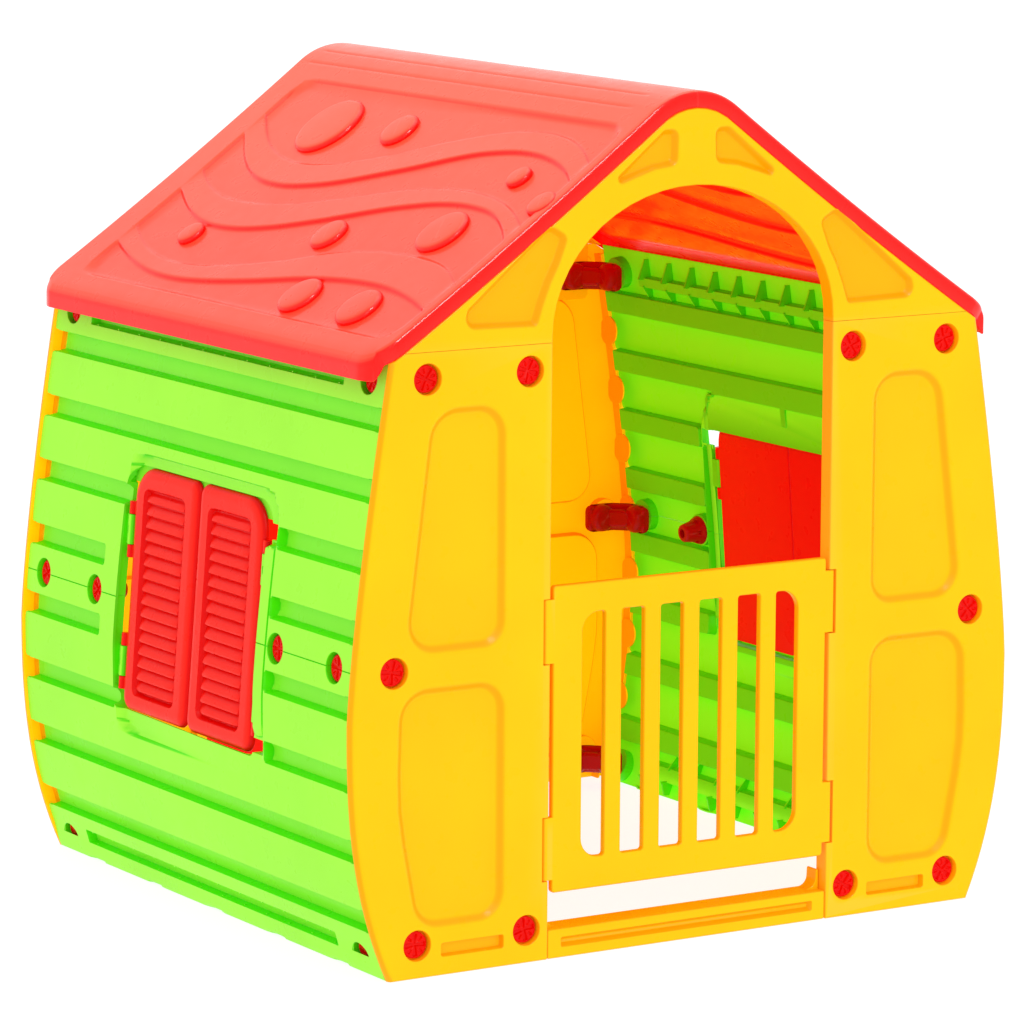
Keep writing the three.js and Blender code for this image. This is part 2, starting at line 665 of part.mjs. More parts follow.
// A corner clip seen from above: it bridges the corner between an end wall and a side wall.
function cornerClip(z) {
  const narrowest = Math.min(halfWidth(z - CLIP.height / 2), halfWidth(z + CLIP.height / 2));
  const x = narrowest - WALL_INSET - BAND_DEPTH - SKIN - CLIP.clear;
  const y = FRONT + END_DEPTH + TONGUE.thick + CLIP.stand;
  const outline = [
    [x - CLIP.reach, y], [x - CLIP.corner, y], [x, y + CLIP.corner], [x, y + CLIP.arm],
    [x - CLIP.thick, y + CLIP.arm], [x - CLIP.thick, y + CLIP.heel], [x - CLIP.heel, y + CLIP.thick],
    [x - CLIP.reach, y + CLIP.thick],
  ];
  return plateZ(outline, z - CLIP.height / 2, z + CLIP.height / 2);
}

// ---- Assembly ---------------------------------------------------------------------------

const house = new THREE.Group();
const turned = new THREE.Group();
turned.rotation.z = Math.PI;
house.add(turned);

function place(parent, name, geometry, material) {
  const mesh = new THREE.Mesh(geometry, material);
  mesh.name = name;
  parent.add(mesh);
  return mesh;
}

// A solid mirrored across the middle plane of the house.
function mirrorX(solid) {
  return solid.mirror([1, 0, 0]);
}

function buildEnd(parent, end, knuckles, left, right) {
  place(parent, `${end}_panel_${right}`, geometryOf(endPanel(knuckles, false)), yellow);
  place(parent, `${end}_panel_${left}`, geometryOf(mirrorX(endPanel(knuckles, true))), yellow);
  place(parent, `${end}_gable`, geometryOf(gable()), yellow);
  place(parent, `${end}_sill`, geometryOf(sill()), yellow);
  END_SCREWS.forEach(([x, z], i) => {
    [[left, -1], [right, 1]].forEach(([name, side]) => {
      const screw = place(parent, `${end}_screw_${name}_${i + 1}`, screwGeometry(), red);
      screw.position.set(side * x, FRONT + HEAD_SINK, z);
    });
  });
  [['top', 0], ['mid', 1], ['low', 2]].forEach(([level, i]) => {
    const clip = cornerClip(CLIP_HEIGHTS[i]);
    place(parent, `clip_${end}_${right}_${level}`, geometryOf(clip), darkRed);
    place(parent, `clip_${end}_${left}_${level}`, geometryOf(mirrorX(clip)), darkRed);
  });
}

function buildSide(parent, side, frontName, rearName) {
  const lower = wallHalf(0, WALL_SEAM - GAP, LOWER_BAND_TOPS);
  const upper = wallHalf(WALL_SEAM, WALL_HEIGHT, UPPER_BAND_TOPS);
  place(parent, `${side}_wall_lower`, geometryOf(lower), green);
  place(parent, `${side}_wall_upper`, geometryOf(upper), green);
  const leafFrame = new THREE.Group();
  leafFrame.position.set(hingePlaneX, WINDOW_Y, windowMid);
  leafFrame.rotation.y = -lean;
  parent.add(leafFrame);
  place(leafFrame, `${side}_shutter_${frontName}`, geometryOf(shutter(-1)), red);
  place(leafFrame, `${side}_shutter_${rearName}`, geometryOf(shutter(1)), red);
  WALL_SCREW_Z.forEach((z, i) => {
    [[frontName, -1], [rearName, 1]].forEach(([end, direction]) => {
      const stand = new THREE.Group();
      wallNormal(direction * WALL_SCREW_Y, z)
        .decompose(stand.position, stand.quaternion, stand.scale);
      parent.add(stand);
      const screw = place(stand, `${side}_screw_${end}_${i + 1}`, screwGeometry(), red);
      screw.rotation.z = Math.PI / 2;
      screw.position.x = -HEAD_SINK;
    });
  });
}

buildEnd(house, 'front', GATE_KNUCKLES, 'left', 'right');
buildEnd(turned, 'back', DOOR_KNUCKLES, 'right', 'left');
buildSide(house, 'right', 'front', 'rear');
buildSide(turned, 'left', 'rear', 'front');
place(house, 'front_gate', geometryOf(gate(-1)), yellow);
place(turned, 'back_door', geometryOf(backDoor(-1)), red);
place(house, 'roof_right', geometryOf(roofHalf()), red);
place(turned, 'roof_left', geometryOf(roofHalf()), red);

export default house;
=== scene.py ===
"""A child's plastic playhouse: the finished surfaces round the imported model.

Shapes are worked out in millimetres and turned into metres when a mesh is made. The house
stands on z = 0, its front faces -Y, and +X is to the right seen from the front. The back wall
and the left wall are the front and right mouldings turned half round the middle of the house.
"""

import bmesh
import bpy
import numpy as np
from mathutils import Matrix, Vector


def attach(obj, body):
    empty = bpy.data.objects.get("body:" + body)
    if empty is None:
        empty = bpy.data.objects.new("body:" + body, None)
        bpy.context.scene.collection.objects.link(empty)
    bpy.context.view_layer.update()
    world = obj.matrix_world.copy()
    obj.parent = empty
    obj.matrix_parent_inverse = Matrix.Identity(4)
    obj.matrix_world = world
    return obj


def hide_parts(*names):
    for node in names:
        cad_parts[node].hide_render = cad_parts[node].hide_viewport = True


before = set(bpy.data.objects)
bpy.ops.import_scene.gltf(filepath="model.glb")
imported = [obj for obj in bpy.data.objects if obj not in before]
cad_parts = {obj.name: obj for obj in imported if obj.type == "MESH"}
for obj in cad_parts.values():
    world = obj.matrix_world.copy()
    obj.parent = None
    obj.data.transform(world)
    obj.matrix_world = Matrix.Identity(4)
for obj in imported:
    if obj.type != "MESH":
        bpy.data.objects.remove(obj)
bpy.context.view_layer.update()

# ---- Driving dimensions, in millimetres -----------------------------------------------------

MM = 0.001

HALF_DEPTH = 450
FRONT = -HALF_DEPTH
GAP = 0.3
SKIN = 3.0
EDGE = 2.6

# The side walls bow outwards: half width at the foot, at the belly and at the wall top.
FOOT_HALF = 446
BELLY_HALF = 502.5
TOP_HALF = 441.5
BELLY_Z = 325
WALL_TOP = 786
LOWER_POWER = 2.6
UPPER_POWER = 1.3
BOW_STEP = 22

# Roof: a rounded ridge that runs into two slopes, each a little flatter at its eave.
RIDGE_Z = 1090
RIDGE_RADIUS = 104
RIDGE_SLOPE = 0.752
EAVE_SLOPE = 0.655
EAVE_X = 472
EAVE_FOOT = 752
ROOF_SKIN = 4
ROOF_LIP = 21
UNDER_ROOF = ROOF_LIP + 0.4
ROOF_EDGE = 8
EAVE_ROUNDING = 6
ROOF_CORNER = 42

# End walls.
END_DEPTH = 22
RECESS_DEPTH = 9
RECESS_RUN = 15
GABLE_RUN = 11
DOOR_HALF = 214
DOOR_TOP_HALF = 212
POST_WIDTH = 27
ARCH_SPRING = 792
ARCH_TOP = 971.5
TONGUE_FOOT = 710
TONGUE_THICK = 4
TONGUE_SPAN = (229, 400)
SILL_HEIGHT = 38
SILL_DEPTH = 40

# Side walls: planks between sunk bands.
WALL_INSET = 4
WALL_Y = HALF_DEPTH - 10
BAND_Y = HALF_DEPTH - 22.6
RIM_SET_IN = 17
FLANGE_DEPTH = HALF_DEPTH - WALL_Y - GAP
WALL_SEAM = 393
WALL_HEIGHT = 784
BAND_DEPTH = 14
BAND_HEIGHT = 29
BAND_TOPS = (91, 182, 272, 363, 457, 544, 631, 718)

# Window frames and shutters. The shutters lie in a flat plane that leans in with the wall.
WINDOW_Y = 5
WINDOW_FOOT = 245
WINDOW_TOP = 570
SHUTTER_THICK = 11
SHUTTER_SINK = 1
HINGE_OFFSET = 180
PLATE_NEAR = 1.5
PLATE_FAR = 173.5
COLUMN_CLEAR = 8.5
PIVOT_RADIUS = 6
PIVOT_Z = (307, 483)
FIXED_KNUCKLE = 40
SHUTTER_KNUCKLE = 17
PIN_RADIUS = 2.4
BORE_RADIUS = 3.1
NOTCH_SPAN = (187, 220)
NOTCH_HEIGHTS = ((251, 270), (522, 543))

# Gate and back door.
LEAF_THICK = 10
LEAF_FRONT = HALF_DEPTH - 0.5
LEAF_AXIS_X = 216.5
LEAF_HALF = 208.5
LEAF_ROOM = 7
LEAF_TAB = 4
LEAF_FOOT = 85
LEAF_KNUCKLE_RADIUS = 5
GATE_TOP = 479
GATE_KNUCKLES = ((102, 183), (380, 462))
GATE_SLOT_X = (29.5, 88.5, 147.5)
DOOR_GAP = 4
DOOR_KNUCKLES = ((102, 183), (380, 462), (640, 722))

# Fasteners.
HEAD_RADIUS = 17.5
HEAD_THICK = 6
HEAD_POCKET = 19.5
HEAD_SINK = 6
HEAD_DEPTH = 12.3
SHANK_RADIUS = 4
SHANK_LENGTH = 17
BOSS_RADIUS = 23
BOSS_DEPTH = 16
END_SCREWS = ((393, 752), (245, 752), (440, 390), (406, 42), (246, 42))
WALL_SCREW_Y = 393
WALL_SCREW_Z = (22.5, 750)
MID_SCREWS_Y = (393, 245)
CLIP_HEIGHTS = (("top", 745), ("mid", 390), ("low", 36))
CLIP_HEIGHT = 40
CLIP_THICK = 14
CLIP_REACH = 72
CLIP_ARM = 66

HALF_TURN = Matrix.Rotation(np.pi, 4, "Z")
AS_BUILT = Matrix.Identity(4)
MIRROR_X = Matrix.Scale(-1, 4, Vector((1, 0, 0)))

# Each end wall: its name, its turn, and the house's side that its +X and -X halves are on.
ENDS = (("front", AS_BUILT, "right", "left"), ("back", HALF_TURN, "left", "right"))
# Each side wall: its name, its turn, and the house's end that its -Y and +Y halves are at.
WALLS = (("right", AS_BUILT, ("front", "rear")), ("left", HALF_TURN, ("rear", "front")))


# ---- Numbers --------------------------------------------------------------------------------

def smooth(t):
    t = np.clip(t, 0, 1)
    return t * t * (3 - 2 * t)


def half_width(z):
    """How far the bowed edge of the house is from its middle at a height."""
    z = np.asarray(z, float)
    upper = np.clip((z - BELLY_Z) / (WALL_TOP - BELLY_Z), 0, None) ** UPPER_POWER
    lower = np.clip((BELLY_Z - z) / BELLY_Z, 0, None) ** LOWER_POWER
    return BELLY_HALF - (BELLY_HALF - TOP_HALF) * upper - (BELLY_HALF - FOOT_HALF) * lower


def wall_face(z):
    """How far the face of a side wall's planks is from the middle of the house."""
    return half_width(z) - WALL_INSET


STEEPEST = np.arctan(RIDGE_SLOPE)
SLOPE_START = RIDGE_RADIUS * np.sin(STEEPEST)
EASING = (RIDGE_SLOPE - EAVE_SLOPE) / (EAVE_X - SLOPE_START)


def roof_point(x, drop=0.0):
    """A point of the right slope lowered square to itself, and the way out of the roof there."""
    x = np.asarray(x, float)
    run = np.clip(x - SLOPE_START, 0, None)
    on_arc = np.minimum(x, SLOPE_START)
    z = RIDGE_Z - RIDGE_RADIUS + np.sqrt(RIDGE_RADIUS ** 2 - on_arc ** 2)
    z = z - RIDGE_SLOPE * run + EASING * run ** 2 / 2
    angle = np.where(run > 0, np.arctan(RIDGE_SLOPE - EASING * run),
                     np.arcsin(on_arc / RIDGE_RADIUS))
    return x - drop * np.sin(angle), z - drop * np.cos(angle), np.sin(angle), np.cos(angle)


# The slope's x and its length from the ridge, in step.
ROOF_X = np.linspace(0, EAVE_X, 1200)
ROOF_S = np.concatenate([[0], np.cumsum(np.hypot(np.diff(ROOF_X), np.diff(roof_point(ROOF_X)[1])))])


def corner_drop(distance, radius):
    """How far a rounded edge falls away at a distance in from the border."""
    inside = np.clip(radius - np.asarray(distance, float), 0, radius)
    return radius - np.sqrt(radius ** 2 - inside ** 2)


def box_distance(a, b, a_span, b_span, radius):
    """Signed distance to a rounded rectangle, negative inside it."""
    qa = np.maximum(a_span[0] - a, a - a_span[1]) + radius
    qb = np.maximum(b_span[0] - b, b - b_span[1]) + radius
    outside = np.hypot(np.maximum(qa, 0), np.maximum(qb, 0))
    return outside + np.minimum(np.maximum(qa, qb), 0) - radius


FINE = (0, 0.12, 0.3, 0.5, 0.7, 0.88, 1)
COARSE = (0, 0.2, 0.5, 0.8, 1)


def grid_lines(low, high, keys, reach, step, shares=FINE):
    """Positions from low to high: close together round each key, at shares of a reach, and
    nowhere more than step apart."""
    cluster = np.array(shares) * reach
    marks = [low, high]
    for key in keys:
        marks += [key + side * offset for side in (-1, 1) for offset in cluster]
    marks = sorted(m for m in marks if low <= m <= high)
    kept = [marks[0]]
    for mark in marks[1:]:
        if mark - kept[-1] > 0.25:
            count = int(np.ceil((mark - kept[-1]) / step))
            kept += list(np.linspace(kept[-1], mark, count + 1)[1:])
    kept[-1] = high
    return np.array(kept)


# ---- Outlines -------------------------------------------------------------------------------

def outline(corners, grown):
    """Points of a counter-clockwise outline of (a, b, radius) corners, grown outwards."""
    sharp = np.array([corner[:2] for corner in corners], float)
    into = sharp - np.roll(sharp, 1, 0)
    into /= np.linalg.norm(into, axis=1)[:, None]
    away = np.roll(into, -1, 0)
    outward = np.stack([into[:, 1] + away[:, 1], -into[:, 0] - away[:, 0]], 1)
    moved = sharp + outward * (2 * grown / (outward ** 2).sum(1))[:, None]
    points = []
    for corner, at, u, v in zip(corners, moved, into, away):
        turn = np.arctan2(u[0] * v[1] - u[1] * v[0], u @ v)
        if len(corner) < 3 or abs(turn) < 1e-3:
            points.append(at)
            continue
        side = np.sign(turn)
        radius = max(corner[2] + grown * side, 0.25)
        start = at - u * radius * np.tan(abs(turn) / 2)
        centre = start + np.array([-u[1], u[0]]) * side * radius
        arm = start - centre
        for angle in np.linspace(0, turn, 2 + int(abs(turn) / np.radians(11))):
            c, s = np.cos(angle), np.sin(angle)
            points.append(centre + np.array([c * arm[0] - s * arm[1], s * arm[0] + c * arm[1]]))
    return np.array(points)


def rectangle(a_span, b_span, radius):
    (a0, a1), (b0, b1) = a_span, b_span
    return [(a0, b0, radius), (a1, b0, radius), (a1, b1, radius), (a0, b1, radius)]


def mirrored(corners):
    return [(-corner[0], *corner[1:]) for corner in reversed(corners)]


def disc(radius, a=0.0, b=0.0, sides=40):
    angles = np.linspace(0, 2 * np.pi, sides, endpoint=False)
    return [(a + radius * np.cos(t), b + radius * np.sin(t)) for t in angles]


def edge(radius, steps=4):
    """(set in, depth) pairs round a rounded edge, from the face to the side."""
    return [(radius * (1 - np.sin(t)), radius * (1 - np.cos(t)))
            for t in np.linspace(0, np.pi / 2, steps + 1)]


# ---- Solids ---------------------------------------------------------------------------------
# A solid is a Blender object with a closed mesh. Outlines lie in (x, z) and go deeper along +Y.

ALONG_X = Matrix(((0, -1, 0, 0), (1, 0, 0, 0), (0, 0, 1, 0), (0, 0, 0, 1)))
ALONG_Z = Matrix(((1, 0, 0, 0), (0, 0, 1, 0), (0, 1, 0, 0), (0, 0, 0, 1)))


def place_at(x=0.0, y=0.0, z=0.0):
    return Matrix.Translation((x * MM, y * MM, z * MM))


def outward(mesh):
    """Turns a closed mesh's faces to point out."""
    work = bmesh.new()
    work.from_mesh(mesh)
    if work.calc_volume(signed=True) < 0:
        bmesh.ops.reverse_faces(work, faces=work.faces)
    work.to_mesh(mesh)
    work.free()


def solid(points, faces, matrix=None):
    mesh = bpy.data.meshes.new("solid")
    mesh.from_pydata((np.asarray(points, float) * MM).tolist(), [], faces)
    if matrix is not None:
        mesh.transform(matrix)
    outward(mesh)
    obj = bpy.data.objects.new("solid", mesh)
    bpy.context.scene.collection.objects.link(obj)
    return obj


def moved(obj, matrix):
    obj.data.transform(matrix)
    outward(obj.data)
    return obj


def copied(obj, matrix):
    twin = obj.copy()
    twin.data = obj.data.copy()
    bpy.context.scene.collection.objects.link(twin)
    return moved(twin, matrix)


def loft(rings, matrix=None):
    """A solid through (outline points, depth) rings with the same number of points."""
    count = len(rings[0][0])
    points = [(a, depth, b) for ring, depth in rings for a, b in ring]
    faces = [list(range(count)), list(range((len(rings) - 1) * count, len(rings) * count))[::-1]]
    for level in range(len(rings) - 1):
        base = level * count
        for i in range(count):
            j = (i + 1) % count
            faces.append([base + j, base + i, base + count + i, base + count + j])
    return solid(points, faces, matrix)


def lofted(corners, profile, matrix=None):
    """A solid whose outline is grown by each (grown, depth) pair of a profile."""
    return loft([(outline(corners, grown), depth) for grown, depth in profile], matrix)


def plate(corners, low, high, near=1.0, far=1.0, matrix=None):
    """A solid between two depths with both rims rounded."""
    profile = [(-s, low + d) for s, d in edge(near)]
    profile += [(-s, high - d) for s, d in reversed(edge(far))]
    return lofted(corners, profile, matrix)


def post(radius, low, high, rim, sides, x=0.0, y=0.0):
    """An upright cylinder with rounded rims."""
    return moved(plate(disc(radius, sides=sides), low, high, rim, rim, ALONG_Z), place_at(x, y, 0))


def lathe(profile, sides=40, matrix=None):
    """A solid turned about +Y from (radius, along) pairs that start and end on the axis."""
    rings = [(disc(max(radius, 0.01), sides=sides), along) for radius, along in profile]
    return loft(rings, matrix)


def grid_solid(outer, inner, matrix=None):
    """A solid between two point grids of the same shape."""
    rows, columns = outer.shape[:2]
    size = rows * columns
    points = np.concatenate([outer.reshape(-1, 3), inner.reshape(-1, 3)])
    index = np.arange(size).reshape(rows, columns)
    top = np.stack([index[:-1, :-1], index[1:, :-1], index[1:, 1:], index[:-1, 1:]], -1)
    top = top.reshape(-1, 4)
    border = np.concatenate([
        index[0, :-1], index[:-1, -1], index[-1, :0:-1], index[:0:-1, 0],
    ])
    after = np.roll(border, -1)
    rim = np.stack([border, after, after + size, border + size], 1)
    faces = np.concatenate([top, top[:, ::-1] + size, rim])
    return solid(points, faces.tolist(), matrix)


def joined(parts):
    """Separate solids as one mesh."""
    work = bmesh.new()
    for part in parts:
        work.from_mesh(part.data)
        discard(part)
    mesh = bpy.data.meshes.new("solid")
    work.to_mesh(mesh)
    work.free()
    obj = bpy.data.objects.new("solid", mesh)
    bpy.context.scene.collection.objects.link(obj)
    return obj


def discard(obj):
    mesh = obj.data
    bpy.data.objects.remove(obj)
    bpy.data.meshes.remove(mesh)


def bake_modifiers(obj):
    graph = bpy.context.evaluated_depsgraph_get()
    made = bpy.data.meshes.new_from_object(obj.evaluated_get(graph))
    obj.modifiers.clear()
    before = obj.data
    obj.data = made
    bpy.data.meshes.remove(before)
    return obj


def boolean(base, tools, operation):
    for tool in tools:
        step = base.modifiers.new("boolean", "BOOLEAN")
        step.operation = operation
        step.solver = "MANIFOLD"
        step.object = tool
    bake_modifiers(base)
    for tool in tools:
        discard(tool)
    return base


def add(base, tools):
    return boolean(base, tools, "UNION")


def cut(base, tools):
    return boolean(base, tools, "DIFFERENCE")


def keep(base, tools):
    return boolean(base, tools, "INTERSECT")


# ---- Features of a moulding's face ----------------------------------------------------------

def tray(corners, radius=EDGE):
    """An open-backed end wall moulding with its face at depth 0."""
    profile = [(-s, d) for s, d in edge(radius)]
    profile += [(-s, END_DEPTH - d) for s, d in reversed(edge(0.8, 2))]
    profile += [(-SKIN + 0.6, END_DEPTH), (-SKIN, END_DEPTH - 0.6), (-SKIN - 0.4, SKIN + 3)]
    profile += [(-SKIN - 1.2, SKIN + 1), (-SKIN - 3.2, SKIN)]
    return lofted(corners, profile)


def sunk_space(corners, depth, draft, lip, floor):
    """What to cut from a face for a sunk field with rounded edges and sloping sides."""
    profile = [(lip, -1)] + edge(lip)
    profile += [(-draft - s, depth - d) for s, d in reversed(edge(floor))]
    return lofted(corners, profile)


def soft_space(corners, run):
    """What to cut from a face for a sunk field whose sides are one soft wave."""
    profile = [(run * 0.4, -1)]
    profile += [(run * (0.4 - t), RECESS_DEPTH * float(smooth(t))) for t in np.linspace(0.03, 1, 11)]
    return lofted(corners, profile)


def sunk_shell(corners):
    """The back of a sunk field, which stands out behind the face."""
    profile = [(SKIN, 1), (SKIN - 3, RECESS_DEPTH + SKIN - 3)]
    profile += [(SKIN - 3 - s, RECESS_DEPTH + SKIN - d) for s, d in reversed(edge(3))]
    return lofted(corners, profile)


def screw_boss(a, b):
    return moved(plate(disc(BOSS_RADIUS), 0.5, BOSS_DEPTH, 0.3, 1.5), place_at(a, 0, b))


def screw_pocket(a, b):
    """The pocket for a screw's head, with a rounded brim, and the hole for its shank."""
    shank = SHANK_RADIUS + 0.6 - HEAD_POCKET
    profile = [(1.6, -1)] + edge(1.6)
    profile += [(0, HEAD_DEPTH), (shank, HEAD_DEPTH), (shank, END_DEPTH + 8)]
    rings = [(disc(HEAD_POCKET + grown), at) for grown, at in profile]
    return loft(rings, place_at(a, 0, b))


# ---- End walls ------------------------------------------------------------------------------

def bowed_edge(low, high):
    """Points (x, z) along the bowed side of the house, at most BOW_STEP apart."""
    heights = np.linspace(low, high, 1 + int(np.ceil((high - low) / BOW_STEP)))
    return [(float(half_width(z)), float(z)) for z in heights]


def slope_z(x):
    """Height of the line that the end walls are trimmed to, under the roof's lip."""
    trim_x, trim_z = roof_point(ROOF_X, UNDER_ROOF)[:2]
    return float(np.interp(x, trim_x, trim_z))


def slope_x(z):
    trim_x, trim_z = roof_point(ROOF_X, UNDER_ROOF)[:2]
    return float(np.interp(-z, -trim_z, trim_x))


PANEL_TOP = WALL_TOP - 2 * GAP
RECESSES = (
    [(282, 413, 30), (422, 413, 36), (383, 712, 42), (282, 712, 36)],
    [(282, 65, 34), (404, 65, 36), (433, 215, 400), (429, 364, 40), (282, 364, 34)],
)
FOOT_SLOT = rectangle((280, 371), (24, 41), 3)
SCALLOP_RADIUS = 21
SIDE_EDGE = 8


def panel_outline():
    """The panel with its bowed side only; the other sides run on to be trimmed."""
    return [(DOOR_HALF - 25, -25), *bowed_edge(-25, PANEL_TOP + 25),
            (DOOR_HALF - 25, PANEL_TOP + 25)]


def panel_trim():
    """The door side, the foot and the slope under the roof of a panel."""
    high = PANEL_TOP + 15
    far = 560
    return [(DOOR_HALF, 0, 2), (far, 0), (far, slope_z(far) - (far - EAVE_X) * EAVE_SLOPE),
            (slope_x(PANEL_TOP - 10), PANEL_TOP - 10), (slope_x(high), high),
            (DOOR_TOP_HALF, high)]


def side_strip(near, far, low, high):
    """A strip of a panel along its bowed side, between two distances in from it."""
    edges = bowed_edge(1, PANEL_TOP - 14)
    corners = [(x - near, z) for x, z in edges] + [(x - far, z) for x, z in reversed(edges)]
    return plate(corners, low, high, 0.8, 0.8)


def above(z):
    return plate(rectangle((-600, 600), (z, z + 90), 0.1), -5, 60, 0.1, 0.1)


def panel_scallops():
    """Half-round tabs that reach in behind each plank of the side wall."""
    tabs = []
    for lower, upper in zip(BAND_TOPS[:-1], BAND_TOPS[1:]):
        middle = (lower + upper - BAND_HEIGHT) / 2
        tab = plate(disc(SCALLOP_RADIUS), -1.5, 1.5, 0.8, 0.8, ALONG_X)
        x = float(half_width(middle)) - RIM_SET_IN - SKIN - 2
        tabs.append(moved(tab, place_at(x, END_DEPTH - 1, middle)))
    return tabs


def end_panel(knuckles, with_pins):
    """The right-hand panel of an end wall, with its face at y = 0."""
    body = tray(panel_outline(), SIDE_EDGE)
    plank_room = [(x - RIM_SET_IN, z) for x, z in bowed_edge(-30, 830)] + [(560, 830), (560, -30)]
    cut(body, [lofted(plank_room[::-1], [(0, FLANGE_DEPTH), (0, END_DEPTH + 3)])])
    shells = [sunk_shell(corners) for corners in (*RECESSES, FOOT_SLOT)]
    shells += [screw_boss(*at) for at in END_SCREWS]
    shells.append(plate(rectangle((DOOR_HALF - 20, DOOR_TOP_HALF + POST_WIDTH), (-9, 800), 2),
                        0.5, END_DEPTH, 0.3, 0.8))
    shells.append(side_strip(2.5, RIM_SET_IN + SKIN, 4, FLANGE_DEPTH))
    shells.append(side_strip(RIM_SET_IN, RIM_SET_IN + SKIN, FLANGE_DEPTH - 4, END_DEPTH))
    add(body, shells)
    keep(body, [plate(panel_trim(), 0, END_DEPTH + 0.1, EDGE, 1.2)])
    spaces = [soft_space(corners, RECESS_RUN) for corners in RECESSES]
    spaces += [sunk_space(FOOT_SLOT, RECESS_DEPTH, 1.0, 1.2, 1.5), above(PANEL_TOP)]
    spaces += [screw_pocket(*at) for at in END_SCREWS]
    room = (LEAF_AXIS_X - 2 * LEAF_ROOM, LEAF_AXIS_X + LEAF_ROOM)
    for low, high in knuckles:
        spaces.append(plate(rectangle(room, (low - 1, high + 1), 0.6), -2, END_DEPTH + 2))
    cut(body, spaces)
    extras = panel_scallops()
    if with_pins:
        extras += leaf_pins(knuckles)
    return add(body, extras)


def leaf_pins(knuckles):
    """Stub pins that stand in the ends of each knuckle room for a leaf to turn on."""
    pins = []
    for low, high in knuckles:
        for span in ((low - 4, low + 10), (high - 10, high + 4)):
            pins.append(post(PIN_RADIUS, *span, 0.5, 20, LEAF_AXIS_X, LEAF_THICK / 2 + 0.5))
    return pins


def arch(half, top, steps=26):
    return [(half * np.cos(t), ARCH_SPRING + (top - ARCH_SPRING) * np.sin(t))
            for t in np.linspace(0, np.pi, steps + 1)]


GABLE_FIELDS = (
    [(31, 1000, 9), (63, 996), (95, 986), (131, 974, 4), (48, 1041, 8), (30, 1041, 8)],
    [(237, 810, 5), (340, 812, 12), (334, 833, 5), (216, 930, 12), (193, 916, 8), (205, 885),
     (218, 861), (229, 834)],
)


def gable_outline():
    """The gable, with its foot run on to be trimmed flat."""
    foot = WALL_TOP - 25
    slope = [(float(x), float(z)) for x, z in zip(*roof_point(np.linspace(0, EAVE_X, 26),
                                                              UNDER_ROOF)[:2]) if z > WALL_TOP]
    right = [(slope_x(WALL_TOP), foot), (slope_x(WALL_TOP), WALL_TOP), *slope[::-1]]
    left = [(-x, z) for x, z in right[-2::-1]]
    return [(DOOR_TOP_HALF, foot), *right, *left, (-DOOR_TOP_HALF, foot),
            *arch(DOOR_TOP_HALF, ARCH_TOP)[::-1]]


def gable():
    body = tray(gable_outline())
    fields = [*GABLE_FIELDS, *(mirrored(field) for field in GABLE_FIELDS)]
    add(body, [sunk_shell(field) for field in fields])
    foot = moved(above(WALL_TOP), place_at(0, 0, -90))
    cut(body, [soft_space(field, GABLE_RUN) for field in fields] + [foot])
    tongues = []
    for side in (-1, 1):
        span = sorted(side * x for x in TONGUE_SPAN)
        tongues.append(plate(rectangle(span, (TONGUE_FOOT, WALL_TOP + 5), 8),
                             END_DEPTH + GAP, END_DEPTH + TONGUE_THICK))
        tongues.append(plate(rectangle(span, (WALL_TOP + 0.1, WALL_TOP + 6), 1),
                             2, END_DEPTH + TONGUE_THICK - 0.4))
    return add(body, tongues)


def sill():
    half = DOOR_HALF - GAP
    body = plate(rectangle((-half, half), (0, SILL_HEIGHT), 3), 1.2, SILL_DEPTH, 2.4, 1.0)
    hollow = plate(rectangle((-half + 4, half - 4), (-9, SILL_HEIGHT - SKIN), 2),
                   SKIN + 9, SILL_DEPTH + 3)
    groove = sunk_space(rectangle((-193, 193), (14, 26), 2), 7, 3.0, 1.5, 1.5)
    cut(body, [hollow, moved(groove, place_at(0, 1.2, 0))])
    webs = []
    for side in (-1, 1):
        corners = [(half - 1, SILL_HEIGHT - 3), (half - 1, SILL_HEIGHT + 26, 2),
                   (half - 5, SILL_HEIGHT + 26, 2), (half - 6, SILL_HEIGHT + 4, 14),
                   (half - 26, SILL_HEIGHT - 1), (half - 26, SILL_HEIGHT - 3)]
        if side < 0:
            corners = mirrored(corners)
        webs.append(plate(corners, 15, SILL_DEPTH - 4, 1, 1))
    return add(body, webs)


# ---- Gate and back door ---------------------------------------------------------------------

def leaf_knuckles(body, knuckles):
    """Hinge knuckles on the left side of a leaf, and matching tabs on the right."""
    middle = LEAF_THICK / 2
    parts = []
    for low, high in knuckles:
        parts.append(post(LEAF_KNUCKLE_RADIUS, low, high, 0.8, 28, -LEAF_AXIS_X, middle))
        parts.append(plate(rectangle((-LEAF_AXIS_X, -LEAF_HALF + 3), (low, high), 0.6),
                           0, LEAF_THICK, 1.0, 1.0))
        parts.append(plate(rectangle((LEAF_HALF - 6, LEAF_AXIS_X + LEAF_TAB), (low, high), 1.2),
                           0, LEAF_THICK, 2.0, 2.0))
    add(body, parts)
    return cut(body, [post(BORE_RADIUS, low - 2, high + 2, 0.2, 24, -LEAF_AXIS_X, middle)
                      for low, high in knuckles])


def gate_slot(x):
    last = x == GATE_SLOT_X[-1]
    outer = 25 if last else 4
    corners = [(x - 17, 126, 4), (x + 17, 126, outer), (x + 17, 441, outer), (x - 17, 441, 4)]
    round_edge = edge(2.4)
    profile = [(2.4, -1)] + round_edge
    profile += [(s, LEAF_THICK - d) for s, d in reversed(round_edge)] + [(2.4, LEAF_THICK + 1)]
    return [lofted(side, profile) for side in (corners, mirrored(corners))]


